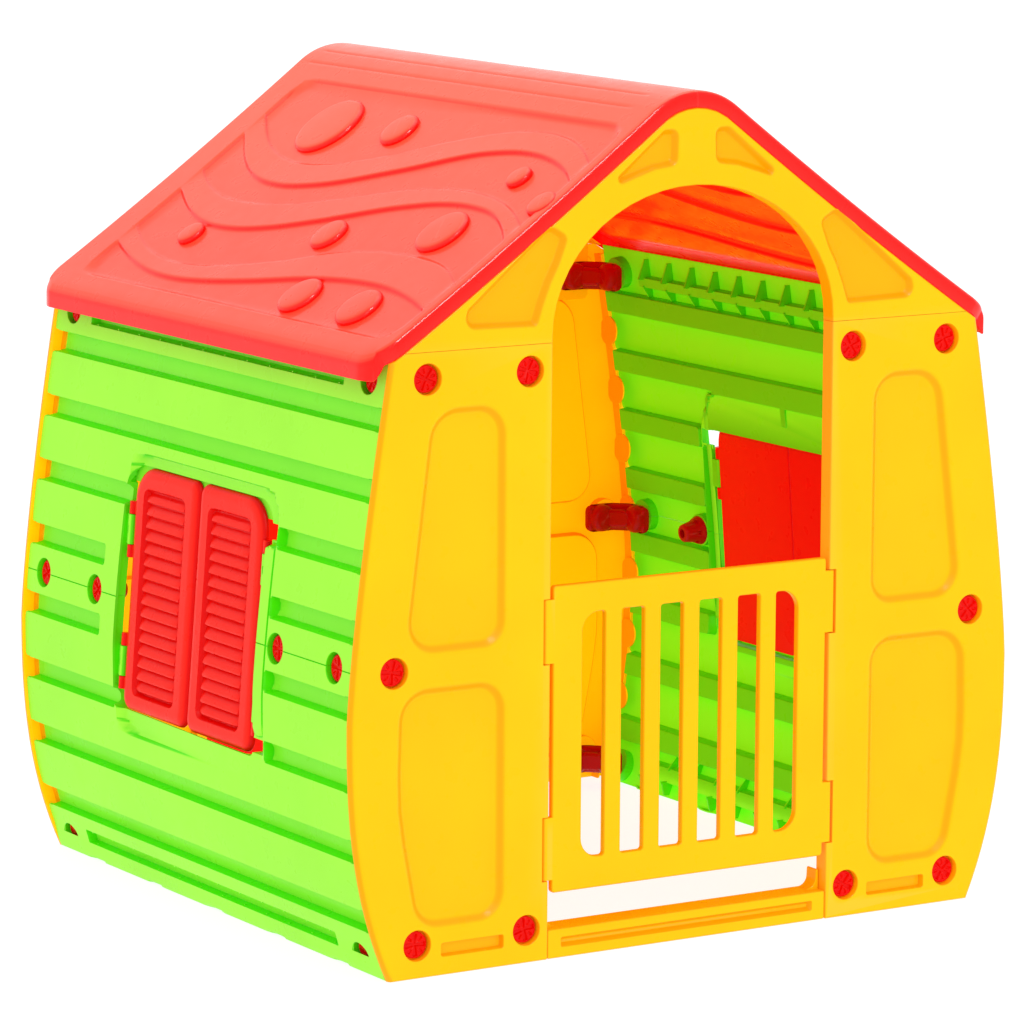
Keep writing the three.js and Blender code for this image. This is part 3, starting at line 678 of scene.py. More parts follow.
def front_gate():
    corners = rectangle((-LEAF_HALF, LEAF_HALF), (LEAF_FOOT, GATE_TOP), 5)
    body = plate(corners, 0, LEAF_THICK, 3.0, 3.0)
    cut(body, [slot for x in GATE_SLOT_X for slot in gate_slot(x)])
    return moved(leaf_knuckles(body, GATE_KNUCKLES), place_at(0, -LEAF_FRONT, 0))


def door_panel(low, high, arched):
    """The outline of a raised panel of the back door, under the arch or square."""
    half = 158
    if not arched:
        return rectangle((-half, half), (low, high), 22)
    rise = [(half * np.cos(t), 770 + (high - 770) * np.sin(t)) for t in np.linspace(0, np.pi, 20)]
    return [(-half, low, 22), (half, low, 22), *rise]


def back_door():
    corners = [(-LEAF_HALF, LEAF_FOOT, 4), (LEAF_HALF, LEAF_FOOT, 4)]
    corners += arch(LEAF_HALF - 1, ARCH_TOP - DOOR_GAP)
    body = plate(corners, 0, LEAF_THICK, 2.6, 2.0)
    for low, high, arched in ((135, 450, False), (510, 905, True)):
        panel = door_panel(low, high, arched)
        cut(body, [sunk_space(panel, 4, 2.5, 1.5, 2.0)])
        field = [(x * 0.86, (low + high) / 2 + (z - (low + high) / 2) * 0.9, *rest)
                 for x, z, *rest in panel]
        add(body, [plate(field, 1.0, 6.0, 2.2, 0.5)])
    return moved(leaf_knuckles(body, DOOR_KNUCKLES), place_at(0, -LEAF_FRONT, 0))


# ---- Side walls -----------------------------------------------------------------------------

# A sunk edge runs over this distance. Each band has its spans in y, past the window's frame.
EDGE_RUN = 3.4
BAND_SPANS = (
    ((-600, 600),), ((-600, 600),), ((-600, -181), (223, 600)), ((-600, -223), (223, 600)),
    ((-600, -223), (223, 600)), ((-600, -181), (223, 600)), ((-600, 600),), ((-600, 600),),
)
# The flat field round the shutters, and the stiles that stay at the planks' height in it.
FRAME_Y = (-181, 223)
FRAME_Z = (212, 588)
FRAME_CORNER = 48
STILES = (((193.5, 221), (273, 519)), ((-181, -179), (330, 545)))
# The long slots near the foot and the top, and the ridge round the opening on the inside.
FOOT_SLOT_Y = (-341, 337)
FOOT_SLOT_Z = (24, 43)
TOP_SLOT_Y = (-340, 335)
TOP_SLOT_Z = (735, 748)
SLOT_DEPTH = 13
RING_WIDTH = 13

WINDOW_MID = (WINDOW_FOOT + WINDOW_TOP) / 2
CHORD_FOOT = float(wall_face(WINDOW_FOOT))
CHORD_TOP = float(wall_face(WINDOW_TOP))
LEAN = np.arctan((CHORD_FOOT - CHORD_TOP) / (WINDOW_TOP - WINDOW_FOOT))
HINGE_X = (CHORD_FOOT + CHORD_TOP) / 2 - SHUTTER_SINK - SHUTTER_THICK / 2
HINGE_PLANE = place_at(HINGE_X, WINDOW_Y, WINDOW_MID) @ Matrix.Rotation(-LEAN, 4, "Y")
OPEN_HALF = HINGE_OFFSET + COLUMN_CLEAR
HEADER_FOOT = 546
RING_TOP = WINDOW_TOP + 26


def band_relief(y, z, grown):
    """Depth of the sunk bands, with the ends of the planks between them rounded."""
    depth = np.zeros(np.broadcast(y, z).shape)
    end_flare = corner_drop(np.clip(WALL_Y - np.abs(y), 0, None), 7)
    for top, spans in zip(BAND_TOPS, BAND_SPANS):
        for span in spans:
            low = top - BAND_HEIGHT - end_flare
            high = top + end_flare
            inside = -box_distance(y, z, span, (low, high), 6) + grown
            depth = np.maximum(depth, BAND_DEPTH * smooth(inside / EDGE_RUN))
    return depth


def frame_relief(y, z, grown):
    """Depth of the flat field round the shutters below the bowed planks."""
    chord = CHORD_FOOT + (z - WINDOW_FOOT) * (CHORD_TOP - CHORD_FOOT) / (WINDOW_TOP - WINDOW_FOOT)
    flat = np.clip(wall_face(z) - chord, 0, None)
    fade = smooth((400 - z) / 150) * smooth((y - FRAME_Y[0]) / 330)
    depth = flat + 8 * (1 - fade)
    inside = -box_distance(y, z, FRAME_Y, FRAME_Z, FRAME_CORNER) + grown
    depth = depth * smooth(inside / 5)
    for y_span, z_span in STILES:
        stile = -box_distance(y, z, y_span, z_span, 9) + 1
        depth = depth * (1 - smooth(stile / 4))
    return depth


def slot_relief(y, z, grown):
    depth = 0
    for y_span, z_span in ((FOOT_SLOT_Y, FOOT_SLOT_Z), (TOP_SLOT_Y, TOP_SLOT_Z)):
        inside = -box_distance(y, z, y_span, z_span, 2.5) + grown
        depth = np.maximum(depth, SLOT_DEPTH * smooth(inside / 3))
    return depth


def foot_undercut(y, z):
    """Shallow cut-outs along the foot, where the wall is lifted off the ground."""
    depth = 0
    for middle in np.linspace(-330, 330, 5):
        near = 1 - np.clip(np.abs(y - middle) / 22, 0, 1)
        depth = np.maximum(depth, 5 * smooth(near * 2) * smooth((4 - z) / 2.5))
    return depth


def wall_relief(y, z, grown=0.0):
    bands = np.maximum(band_relief(y, z, grown), frame_relief(y, z, grown))
    return np.maximum(bands, slot_relief(y, z, grown))


def ring_relief(y, z):
    """Thickness of the ridge moulded round the opening on the inside of the wall."""
    y_span = (WINDOW_Y - OPEN_HALF - 2, WINDOW_Y + OPEN_HALF + 2)
    outer = box_distance(y, z, (y_span[0] - RING_WIDTH, y_span[1] + RING_WIDTH),
                         (WINDOW_FOOT - 4 - RING_WIDTH, RING_TOP + RING_WIDTH), 46)
    inner = box_distance(y, z, y_span, (WINDOW_FOOT - 4, RING_TOP), 34)
    ring = smooth(-outer / 3) * smooth((inner + 1) / 3)
    mullion = smooth((8 - np.abs(y - WINDOW_Y)) / 2) * smooth((z - WINDOW_TOP) / 2)
    return (BAND_DEPTH + SKIN) * np.maximum(ring, mullion * smooth(-outer / 3))


def wall_lines(foot, top):
    """The y and z of the lines of a wall half's grid."""
    y_keys = [-WALL_Y, WALL_Y, -223, 223, -181, *TOP_SLOT_Y, *FOOT_SLOT_Y, *STILES[0][0],
              WINDOW_Y - OPEN_HALF - 2, WINDOW_Y - OPEN_HALF - 2 - RING_WIDTH,
              WINDOW_Y + OPEN_HALF + 2 + RING_WIDTH, WINDOW_Y - 8, WINDOW_Y + 8]
    z_keys = [*FRAME_Z, *STILES[0][1], *TOP_SLOT_Z, *FOOT_SLOT_Z, 0, 5, foot, top,
              WINDOW_FOOT - 4, WINDOW_FOOT - 4 - RING_WIDTH, WINDOW_TOP,
              RING_TOP, RING_TOP + RING_WIDTH]
    z_keys += [band - drop for band in BAND_TOPS for drop in (0, BAND_HEIGHT)]
    z_keys = [z for z in z_keys if foot <= z <= top]
    return (grid_lines(-WALL_Y, WALL_Y, y_keys, EDGE_RUN, 11, COARSE),
            grid_lines(foot, top, z_keys, EDGE_RUN, 9, COARSE))


def wall_skin(foot, top):
    """The moulded skin of one wall half between its outer and inner surfaces."""
    y_lines, z_lines = wall_lines(foot, top)
    y, z = np.meshgrid(y_lines, z_lines, indexing="ij")
    border = np.minimum(np.minimum(WALL_Y - np.abs(y), z - foot), top - z)
    bow = half_width(z) - WALL_INSET * smooth(z / 40)
    rounding = corner_drop(border, 1.0)
    undercut = foot_undercut(y, z)
    outer = np.stack([bow - wall_relief(y, z) - rounding - undercut * 0.8, y, z], -1)
    inner_depth = np.maximum(SKIN + wall_relief(y, z, SKIN), ring_relief(y, z))
    inner = np.stack([bow - inner_depth - undercut + rounding * 0.4, y, z], -1)
    return grid_solid(outer, inner)


def wall_normal(y, z):
    """Stands +Y of a lathe or loft square into the wall at one height."""
    slope = float(wall_face(z + 1) - wall_face(z - 1)) / 2
    turn = Matrix.Rotation(np.arctan(slope), 4, "Y") @ ALONG_X
    return place_at(float(wall_face(z)), y, z) @ turn


def wall_screws(foot, top):
    """Where the screws of a wall half go; the middle row is cut into both halves."""
    rows = [(side * WALL_SCREW_Y, z) for z in WALL_SCREW_Z for side in (-1, 1)]
    rows += [(side * y, WALL_SEAM) for y in MID_SCREWS_Y for side in (-1, 1)]
    return [(y, z) for y, z in rows if foot - 5 < z < top + 5]


def gusset_rows(foot, top):
    """Rows of small ribs above and below each slot, on the inside of the wall."""
    ribs = []
    rows = [(TOP_SLOT_Z[1], 27, 24, 1), (TOP_SLOT_Z[0], 15, 11, -1),
            (FOOT_SLOT_Z[1], 17, 12, 1), (FOOT_SLOT_Z[0], 19, 22, -1)]
    for slot_z, height, reach, way in rows:
        if not foot < slot_z < top:
            continue
        for y in np.linspace(-322, 322, 12):
            base = float(wall_face(slot_z)) - 1.5
            lean = float(wall_face(slot_z + way * height)) - 1.5
            tip = base - SLOT_DEPTH - reach * 0.45
            corners = [(base, slot_z - way * 2), (tip, slot_z - way * 2, 1),
                       (tip + 2, slot_z + way * 2, 3), (lean - 9, slot_z + way * height, 2),
                       (lean, slot_z + way * height)]
            if way > 0:
                corners = corners[::-1]
            ribs.append(plate(corners, y - 1.5, y + 1.5, 0.5, 0.5))
    return ribs


def fixed_knuckles(foot, top):
    """The wall's own hinge knuckles, with the slit that their mould leaves."""
    knuckles = []
    for z in (z for z in PIVOT_Z if foot < z < top):
        for side in (-1, 1):
            low = z - WINDOW_MID - FIXED_KNUCKLE / 2
            high = low + FIXED_KNUCKLE
            axis_y = side * HINGE_OFFSET
            barrel = post(PIVOT_RADIUS, low, high, 0.8, 32, 0, axis_y)
            span = sorted((axis_y, side * (HINGE_OFFSET + COLUMN_CLEAR + 3)))
            web = plate(rectangle(span, (low, high), 0.6), -2, PIVOT_RADIUS, 0.6, 0.6, ALONG_X)
            bore = post(BORE_RADIUS, low - 1, high + 1, 0.2, 24, 0, axis_y)
            slit = plate(rectangle((-1.1, 1.1), (low + 14, low + 25), 1), -9, -3, 0.3, 0.3, ALONG_X)
            moved(slit, place_at(0, axis_y + side * 1.5, 0))
            knuckles.append(moved(cut(add(barrel, [web]), [bore, slit]), HINGE_PLANE))
    return knuckles


def rim_rooms(foot, top):
    """Room for the end walls' rims behind the ends of the planks."""
    heights = np.linspace(foot - 5, top + 5, 40)
    line = [(float(wall_face(z)) - SKIN - GAP, z) for z in heights]
    corners = [(300, foot - 5), *line, (300, top + 5)]
    return [lofted(corners, [(0, BAND_Y), (0, WALL_Y + 5)]),
            lofted(corners, [(0, -WALL_Y - 5), (0, -BAND_Y)])]


def header(top):
    """A strip of the upper half that closes the opening behind the tops of the shutters."""
    if top < WINDOW_TOP:
        return []
    reach = OPEN_HALF + 3
    corners = rectangle((-reach, reach), (HEADER_FOOT - WINDOW_MID, RING_TOP + 3 - WINDOW_MID), 3)
    near = SHUTTER_THICK / 2 + 1
    return [plate(corners, near, near + SKIN, 0.6, 0.6, HINGE_PLANE @ ALONG_X)]


def wall_half(foot, top):
    """One half of the right wall."""
    body = cut(wall_skin(foot, top), rim_rooms(foot, top))
    spots = wall_screws(foot, top)
    bosses = [moved(plate(disc(BOSS_RADIUS, sides=32), 1.2, BOSS_DEPTH, 0.3, 1.2),
                    wall_normal(y, z)) for y, z in spots]
    extras = [joined(bosses)]
    ribs = gusset_rows(foot, top)
    if ribs:
        extras.append(joined(ribs))
    add(body, extras)
    trim = plate(rectangle((-WALL_Y - 3, WALL_Y + 3), (foot, top), 0.3), -600, -300,
                 0.2, 0.2, ALONG_X)
    keep(body, [trim])
    low, high = WINDOW_FOOT - 1 - WINDOW_MID, WINDOW_TOP + 1 - WINDOW_MID
    opening = [(-OPEN_HALF, low, 9), (OPEN_HALF, low, 9), (OPEN_HALF, high, 34),
               (-OPEN_HALF, high, 34)]
    spaces = [plate(opening, -30, 60, 0.5, 0.5, HINGE_PLANE @ ALONG_X)]
    for low, high in NOTCH_HEIGHTS:
        if foot < low < top:
            spaces.append(plate(rectangle(NOTCH_SPAN, (low, high), 1.5), -560, -400,
                                0.5, 0.5, ALONG_X))
    spaces.append(joined([moved(screw_pocket(0, 0), wall_normal(y, z)) for y, z in spots]))
    cut(body, spaces)
    return add(body, [joined(fixed_knuckles(foot, top) + header(top))])


# ---- Shutters -------------------------------------------------------------------------------

SLAT_PITCH = 16.8
NOSE_SHARE = 0.16
LOUVRE_Y = (30, 145)
LOUVRE_Z = (266, 543)
LOUVRE_DEPTH = 8.0
SLAT_HEIGHT = 7.0


def louvre_space():
    """What to cut from a shutter's face to leave a field of rounded slats."""
    margin = 6
    y_lines = grid_lines(LOUVRE_Y[0] - margin, LOUVRE_Y[1] + margin, LOUVRE_Y, 8, 9)
    z_lines = grid_lines(LOUVRE_Z[0] - margin, LOUVRE_Z[1] + margin, LOUVRE_Z, 8, SLAT_PITCH / 14)
    y, z = np.meshgrid(y_lines, z_lines, indexing="ij")
    inside = -box_distance(y, z, LOUVRE_Y, LOUVRE_Z, 13)
    phase = ((z - LOUVRE_Z[0] - 5) / SLAT_PITCH) % 1.0
    on_nose = phase / NOSE_SHARE
    nose = np.sqrt(np.clip(on_nose * (2 - on_nose), 0, 1))
    fall = np.clip((phase - NOSE_SHARE) / (1 - NOSE_SHARE), 0, 1) ** 1.5
    slat = np.where(phase < NOSE_SHARE, nose, 1 - fall)
    slat *= smooth((inside - 2) / 8) * smooth((z - LOUVRE_Z[0] - 3) / 3)
    depth = (LOUVRE_DEPTH - SLAT_HEIGHT * slat) * smooth(inside / 4.5)
    face = SHUTTER_THICK / 2
    surface = face + 0.4 * (inside < -1e-6) - depth
    lower = np.stack([surface, y, z - WINDOW_MID], -1)
    upper = np.stack([np.full_like(y, face + 4), y, z - WINDOW_MID], -1)
    return grid_solid(upper, lower)


def shutter(side):
    """One shutter in the hinge plane; side is -1 for the front leaf and 1 for the rear one."""
    half = SHUTTER_THICK / 2
    foot = WINDOW_FOOT - WINDOW_MID
    top = WINDOW_TOP - WINDOW_MID
    corners = [(PLATE_NEAR, foot, 17), (PLATE_FAR, foot, 18), (PLATE_FAR, top, 45),
               (PLATE_NEAR, top, 17)]
    profile = [(-1.7 * s, -half + d) for s, d in edge(9, 8)]
    profile += [(-s, half - d) for s, d in reversed(edge(1.0, 2))]
    body = lofted(corners, profile, ALONG_X)
    cut(body, [louvre_space()])
    if side < 0:
        moved(body, Matrix.Scale(-1, 4, Vector((0, 1, 0))))
    axis_y = side * HINGE_OFFSET
    parts = []
    for z in PIVOT_Z:
        for end in (-1, 1):
            near = z - WINDOW_MID + end * (FIXED_KNUCKLE / 2 + 0.5)
            span = sorted((near, near + end * SHUTTER_KNUCKLE))
            parts.append(post(PIVOT_RADIUS - 0.5, *span, 0.9, 32, 0, axis_y))
            reach = sorted((axis_y, side * (PLATE_FAR - 9)))
            parts.append(plate(rectangle(reach, span, 1), -1.5, half - 0.4, 0.8, 0.8, ALONG_X))
        middle, reach = z - WINDOW_MID, FIXED_KNUCKLE / 2 + 3
        parts.append(post(PIN_RADIUS, middle - reach, middle + reach, 0.3, 20, 0, axis_y))
    return moved(add(body, parts), HINGE_PLANE)


# ---- Roof -----------------------------------------------------------------------------------
# Places on the right roof half: y from its rear end, and s down the slope from the ridge line.

ROOF_END_S = float(ROOF_S[-1])
RIDGE_S = GAP / 2
FIELD_Y = (16, 838)
FIELD_S = (98, 534)
FIELD_CORNER = 42
FIELD_DEPTH = 5.5
WAVE_HEIGHT = 5.5
WAVE_RUN = 7
RIDGE_LINES = (40, 69)
EAVE_LINE = 540

# Upper and lower edge of each wave, as a few (y, s) points that a smooth curve passes through.
WAVES = (
    (((0, 190), (30, 170), (80, 146), (150, 132), (250, 140), (350, 171), (480, 224), (570, 250),
      (655, 255), (740, 235), (840, 176), (900, 130)),
     ((0, 222), (50, 195), (110, 178), (180, 174), (250, 185), (400, 243), (540, 291), (620, 303),
      (690, 297), (770, 265), (830, 224), (900, 165))),
    (((0, 312), (35, 291), (95, 267), (165, 255), (230, 254), (305, 264), (455, 306), (530, 327),
      (610, 340), (685, 343), (765, 330), (830, 303), (900, 262)),
     ((0, 345), (30, 322), (90, 291), (160, 281), (230, 286), (305, 304), (455, 357), (530, 380),
      (610, 395), (685, 395), (760, 376), (830, 345), (900, 312))),
    (((0, 424), (80, 389), (150, 381), (225, 383), (300, 393), (450, 440), (525, 459), (600, 471),
      (677, 472), (755, 458), (820, 432), (900, 395)),
     ((0, 474), (75, 454), (145, 444), (220, 444), (300, 452), (450, 482), (525, 495), (600, 503),
      (675, 501), (750, 487), (815, 467), (900, 435))),
)

# Each dome's place and radius, and its profile: a share of the way out and the height there.
DOMES = ((659, 181, 54), (493, 168, 30), (131, 217, 19), (28, 255, 22), (163, 332, 39),
         (389, 373, 28), (690, 419, 21), (300, 486, 33), (154, 485, 34))
DOME_PROFILE = ((0.01, -3), (1, -3), (1, 2), (0.985, 4.0), (0.93, 6.0), (0.84, 7.4), (0.7, 8.2),
                (0.4, 8.6), (0.01, 8.7))
DOME_RIM = 30


def smooth_curve(points, at):
    """Catmull-Rom curve through (y, s) points, read at each y."""
    known = np.array(points, float)
    slopes = np.gradient(known[:, 1], known[:, 0])
    i = np.clip(np.searchsorted(known[:, 0], at) - 1, 0, len(known) - 2)
    width = known[i + 1, 0] - known[i, 0]
    t = (at - known[i, 0]) / width
    ease = smooth(t)
    return (known[i, 1] * (1 - ease) + known[i + 1, 1] * ease
            + width * slopes[i] * t * (1 - t) ** 2 - width * slopes[i + 1] * t ** 2 * (1 - t))


def roof_keys(y):
    """The s of each line that the grid follows, for every y."""
    constant = np.ones_like(y)
    keys = [RIDGE_S * constant, RIDGE_LINES[0] * constant, RIDGE_LINES[1] * constant,
            FIELD_S[0] * constant]
    edges = [smooth_curve(curve, y) for wave in WAVES for curve in wave]
    return keys + edges + [FIELD_S[1] * constant, (ROOF_END_S - ROOF_CORNER) * constant,
                           ROOF_END_S * constant]


def roof_rows(y):
    """Rows of s for every y: fine beside each key line and even between them."""
    keys = roof_keys(y)
    rows = []
    for low, high in zip(keys[:-1], keys[1:]):
        room = high - low
        near = np.minimum(WAVE_RUN, room / 2.5)
        for share in (0, 0.2, 0.5, 0.8, 1):
            rows.append(low + near * share)
        middle = np.maximum(1, int(np.ceil((room - 2 * near).max() / 12)))
        for share in np.linspace(0, 1, middle + 1)[1:-1]:
            rows.append(low + near + (room - 2 * near) * share)
        for share in (1, 0.8, 0.5, 0.2):
            rows.append(high - near * share)
    last = keys[-1]
    rows += [last - offset for offset in (3.4, 2.2, 1.2, 0.4)] + [last]
    return np.sort(np.stack(rows, 1), axis=1)


def roof_relief(y, s):
    """Height of the moulded pattern above the plain slope."""
    inside = -box_distance(y, s, FIELD_Y, FIELD_S, FIELD_CORNER)
    field = smooth(inside / 12)
    waves = 0
    for upper, lower in WAVES:
        top, bottom = smooth_curve(upper, y), smooth_curve(lower, y)
        share = np.clip((s - top) / (bottom - top), 0, 1)
        crisp = smooth(np.minimum(s - top, bottom - s) / WAVE_RUN + 0.5)
        waves = np.maximum(waves, WAVE_HEIGHT * (0.6 + 0.4 * share) * crisp)
    relief = field * (waves - FIELD_DEPTH)
    span = smooth((y - 52) / 10) * smooth((872 - y) / 10)
    for line in RIDGE_LINES:
        relief = relief - 1.2 * span * np.exp(-((s - line) / 1.8) ** 2)
    eave_line = smooth((y - 58) / 10) * smooth((830 - y) / 10)
    return relief - 1.4 * eave_line * np.exp(-((s - EAVE_LINE) / 2.0) ** 2)


def rounded_corners(y, s):
    """Pulls the grid round the two eave corners, keeping distances from the border."""
    for front in (True, False):
        a = ROOF_CORNER - y if front else y - (2 * HALF_DEPTH - ROOF_CORNER)
        b = s - (ROOF_END_S - ROOF_CORNER)
        reach = np.maximum(a, b)
        length = np.hypot(a, b)
        factor = np.where((a > 0) & (b > 0) & (length > 1e-9), reach / np.maximum(length, 1e-9), 1)
        new_a, new_b = a * factor, b * factor
        y = np.where(factor < 1, ROOF_CORNER - new_a if front
                     else new_a + 2 * HALF_DEPTH - ROOF_CORNER, y)
        s = np.where(factor < 1, new_b + ROOF_END_S - ROOF_CORNER, s)
    return y, s


def roof_grid():
    """Places on the roof, how far each is from its border, and how much it belongs to the eave."""
    keys = [0, 2 * HALF_DEPTH, ROOF_CORNER, 2 * HALF_DEPTH - ROOF_CORNER, *FIELD_Y]
    y_lines = grid_lines(0, 2 * HALF_DEPTH, keys, ROOF_EDGE, 9)
    s = roof_rows(y_lines)
    y = np.repeat(y_lines[:, None], s.shape[1], 1)
    to_end, to_eave = np.minimum(y, 2 * HALF_DEPTH - y), ROOF_END_S - s
    eave = smooth((to_end - to_eave) / 8 + 0.5) * smooth(1.4 - to_eave / 10)
    y, s = rounded_corners(y, s)
    return y, s, np.minimum(to_end, to_eave), eave


def on_roof(y, s, height, eave=0.0):
    """A point at a height square to the slope, or straight up where it belongs to the eave."""
    x, z, out_x, out_z = roof_point(np.interp(s, ROOF_S, ROOF_X))
    upright = out_z + (1 - out_z) * eave
    return np.stack([x + out_x * (1 - eave) * height, HALF_DEPTH - y, z + upright * height], -1)


def dome(y, s, radius):
    """A low dome that stands square on the sunk field, rounded only near its rim."""
    rim = min(radius, DOME_RIM)
    rings = [(radius - rim * (1 - share) if share > 0.5 else radius * share, height)
             for share, height in DOME_PROFILE]
    base = on_roof(np.array(y), np.array(s), -FIELD_DEPTH + 0.2)
    pitch = float(np.arctan(RIDGE_SLOPE - EASING * (base[0] - SLOPE_START)))
    stand = place_at(*base) @ Matrix.Rotation(pitch, 4, "Y") @ ALONG_Z
    return lathe(rings, 56, stand)


def roof_half():
    """The right half of the roof: a moulded skin with a lip round its edge."""
    y, s, border, eave = roof_grid()
    relief = roof_relief(y, s)
    rounding = corner_drop(border, ROOF_EDGE + EAVE_ROUNDING * eave)
    outer = on_roof(y, s, relief - rounding, eave)
    wall = smooth((border - ROOF_SKIN) / 1.6)
    seam = smooth((s - RIDGE_S - ROOF_SKIN) / 1.6)
    hollow = np.minimum(wall, seam)
    height = roof_point(np.interp(s, ROOF_S, ROOF_X))[1]
    lip = ROOF_LIP + (height - EAVE_FOOT - ROOF_LIP) * eave
    under = -lip + hollow * (lip - ROOF_SKIN + relief)
    inner = on_roof(y, s, under + corner_drop(border, 1.2), eave)
    return add(grid_solid(outer, inner), [dome(*place) for place in DOMES])


# ---- Fasteners ------------------------------------------------------------------------------

def screw():
    """A screw along +Y, its head at the start, with a cross and four short grooves."""
    head = [(0.01, 0.5), (9, 0.6), (14.6, 0.1), (15.6, 0), (16.7, 0.4), (17.3, 1.2),
            (HEAD_RADIUS, 2.4), (HEAD_RADIUS, HEAD_THICK), (SHANK_RADIUS, HEAD_THICK),
            (SHANK_RADIUS, SHANK_LENGTH - 1.5), (SHANK_RADIUS - 1.2, SHANK_LENGTH),
            (0.01, SHANK_LENGTH)]
    body = lathe(head, 40)
    grooves = []
    for i in range(8):
        deep = i % 2 == 0
        wide = 2.8 if deep else 1.2
        corners = [(-1, -1.2, 0.5), (14.2, -wide, 1), (14.2, wide, 1), (-1, 1.2, 0.5)]
        if not deep:
            corners = rectangle((7.5, 13.4), (-wide, wide), 1)
        profile = [(0.8, -1), (0.8, 0.4), (-0.3, 3.0 if deep else 2.0)]
        groove = lofted(corners, profile)
        grooves.append(moved(groove, Matrix.Rotation(-i * np.pi / 4 + 0.5, 4, "Y")))
    return cut(body, grooves)


def cone_nut():
    """The nut on the inside end of a wall screw, wide at the wall."""
    profile = [(0.01, 0), (20, 0), (20.6, 1), (20, 4), (15.5, 13), (13.5, 24), (12.6, 28),
               (11, 29.6), (6.5, 30), (6, 24), (0.01, 24)]
    body = lathe(profile, 36)
    grips = []
    for i in range(6):
        grip = plate(disc(3.4, 17.6, 0, sides=20), 8, 36, 0.5, 0.5)
        grips.append(moved(grip, Matrix.Rotation(i * np.pi / 3, 4, "Y")))
    return cut(body, grips)


def corner_clip(z):
    """A clip with a boss at each end that bridges the corner of two walls."""
    half = CLIP_HEIGHT / 2
    wall_x = float(min(wall_face(z - half), wall_face(z + half))) - BAND_DEPTH - SKIN - 6
    back_y = FRONT + END_DEPTH + TONGUE_THICK + 0.5
    end, thick, arm = wall_x - CLIP_REACH, CLIP_THICK, back_y + CLIP_ARM
    corners = [(end, back_y, 4), (wall_x - 26, back_y, 12), (wall_x - 1, back_y + 22, 12),
               (wall_x - 1, arm, 4), (wall_x - 1 - thick, arm, 6),
               (wall_x - 1 - thick, back_y + 34, 14), (wall_x - 36, back_y + thick, 14),
               (end, back_y + thick, 6)]
    body = plate(corners, z - half, z + half, 10, 10, ALONG_Z)
    boss = lathe([(0.01, 0), (20, 0), (20, 9), (18.6, 15), (15.6, 18.4), (12, 19.6), (7, 20),
                  (0.01, 20)], 36)
    first = copied(boss, place_at(wall_x - 50, back_y + 4, z))
    second = moved(boss, place_at(wall_x - 5, back_y + 46, z) @ ALONG_X)
    bridge = plate([(-20, -13, 12), (20, -13, 12), (20, 13, 12), (-20, 13, 12)], -6, 6, 5, 5)
    middle = Matrix.Rotation(np.radians(-45), 4, "Z")
    moved(bridge, place_at(wall_x - 32, back_y + 27, z) @ middle.inverted())
    return add(body, [first, second, bridge])


# ---- Materials ------------------------------------------------------------------------------

# The skin has a painted glow towards the middle of the cabin, in place of the light let through it,
# and less where it is more than INNER_SHARE sunk.
CABIN_MIDDLE = (0.0, 0.0, 0.5)
INNER_SHARE = 0.45


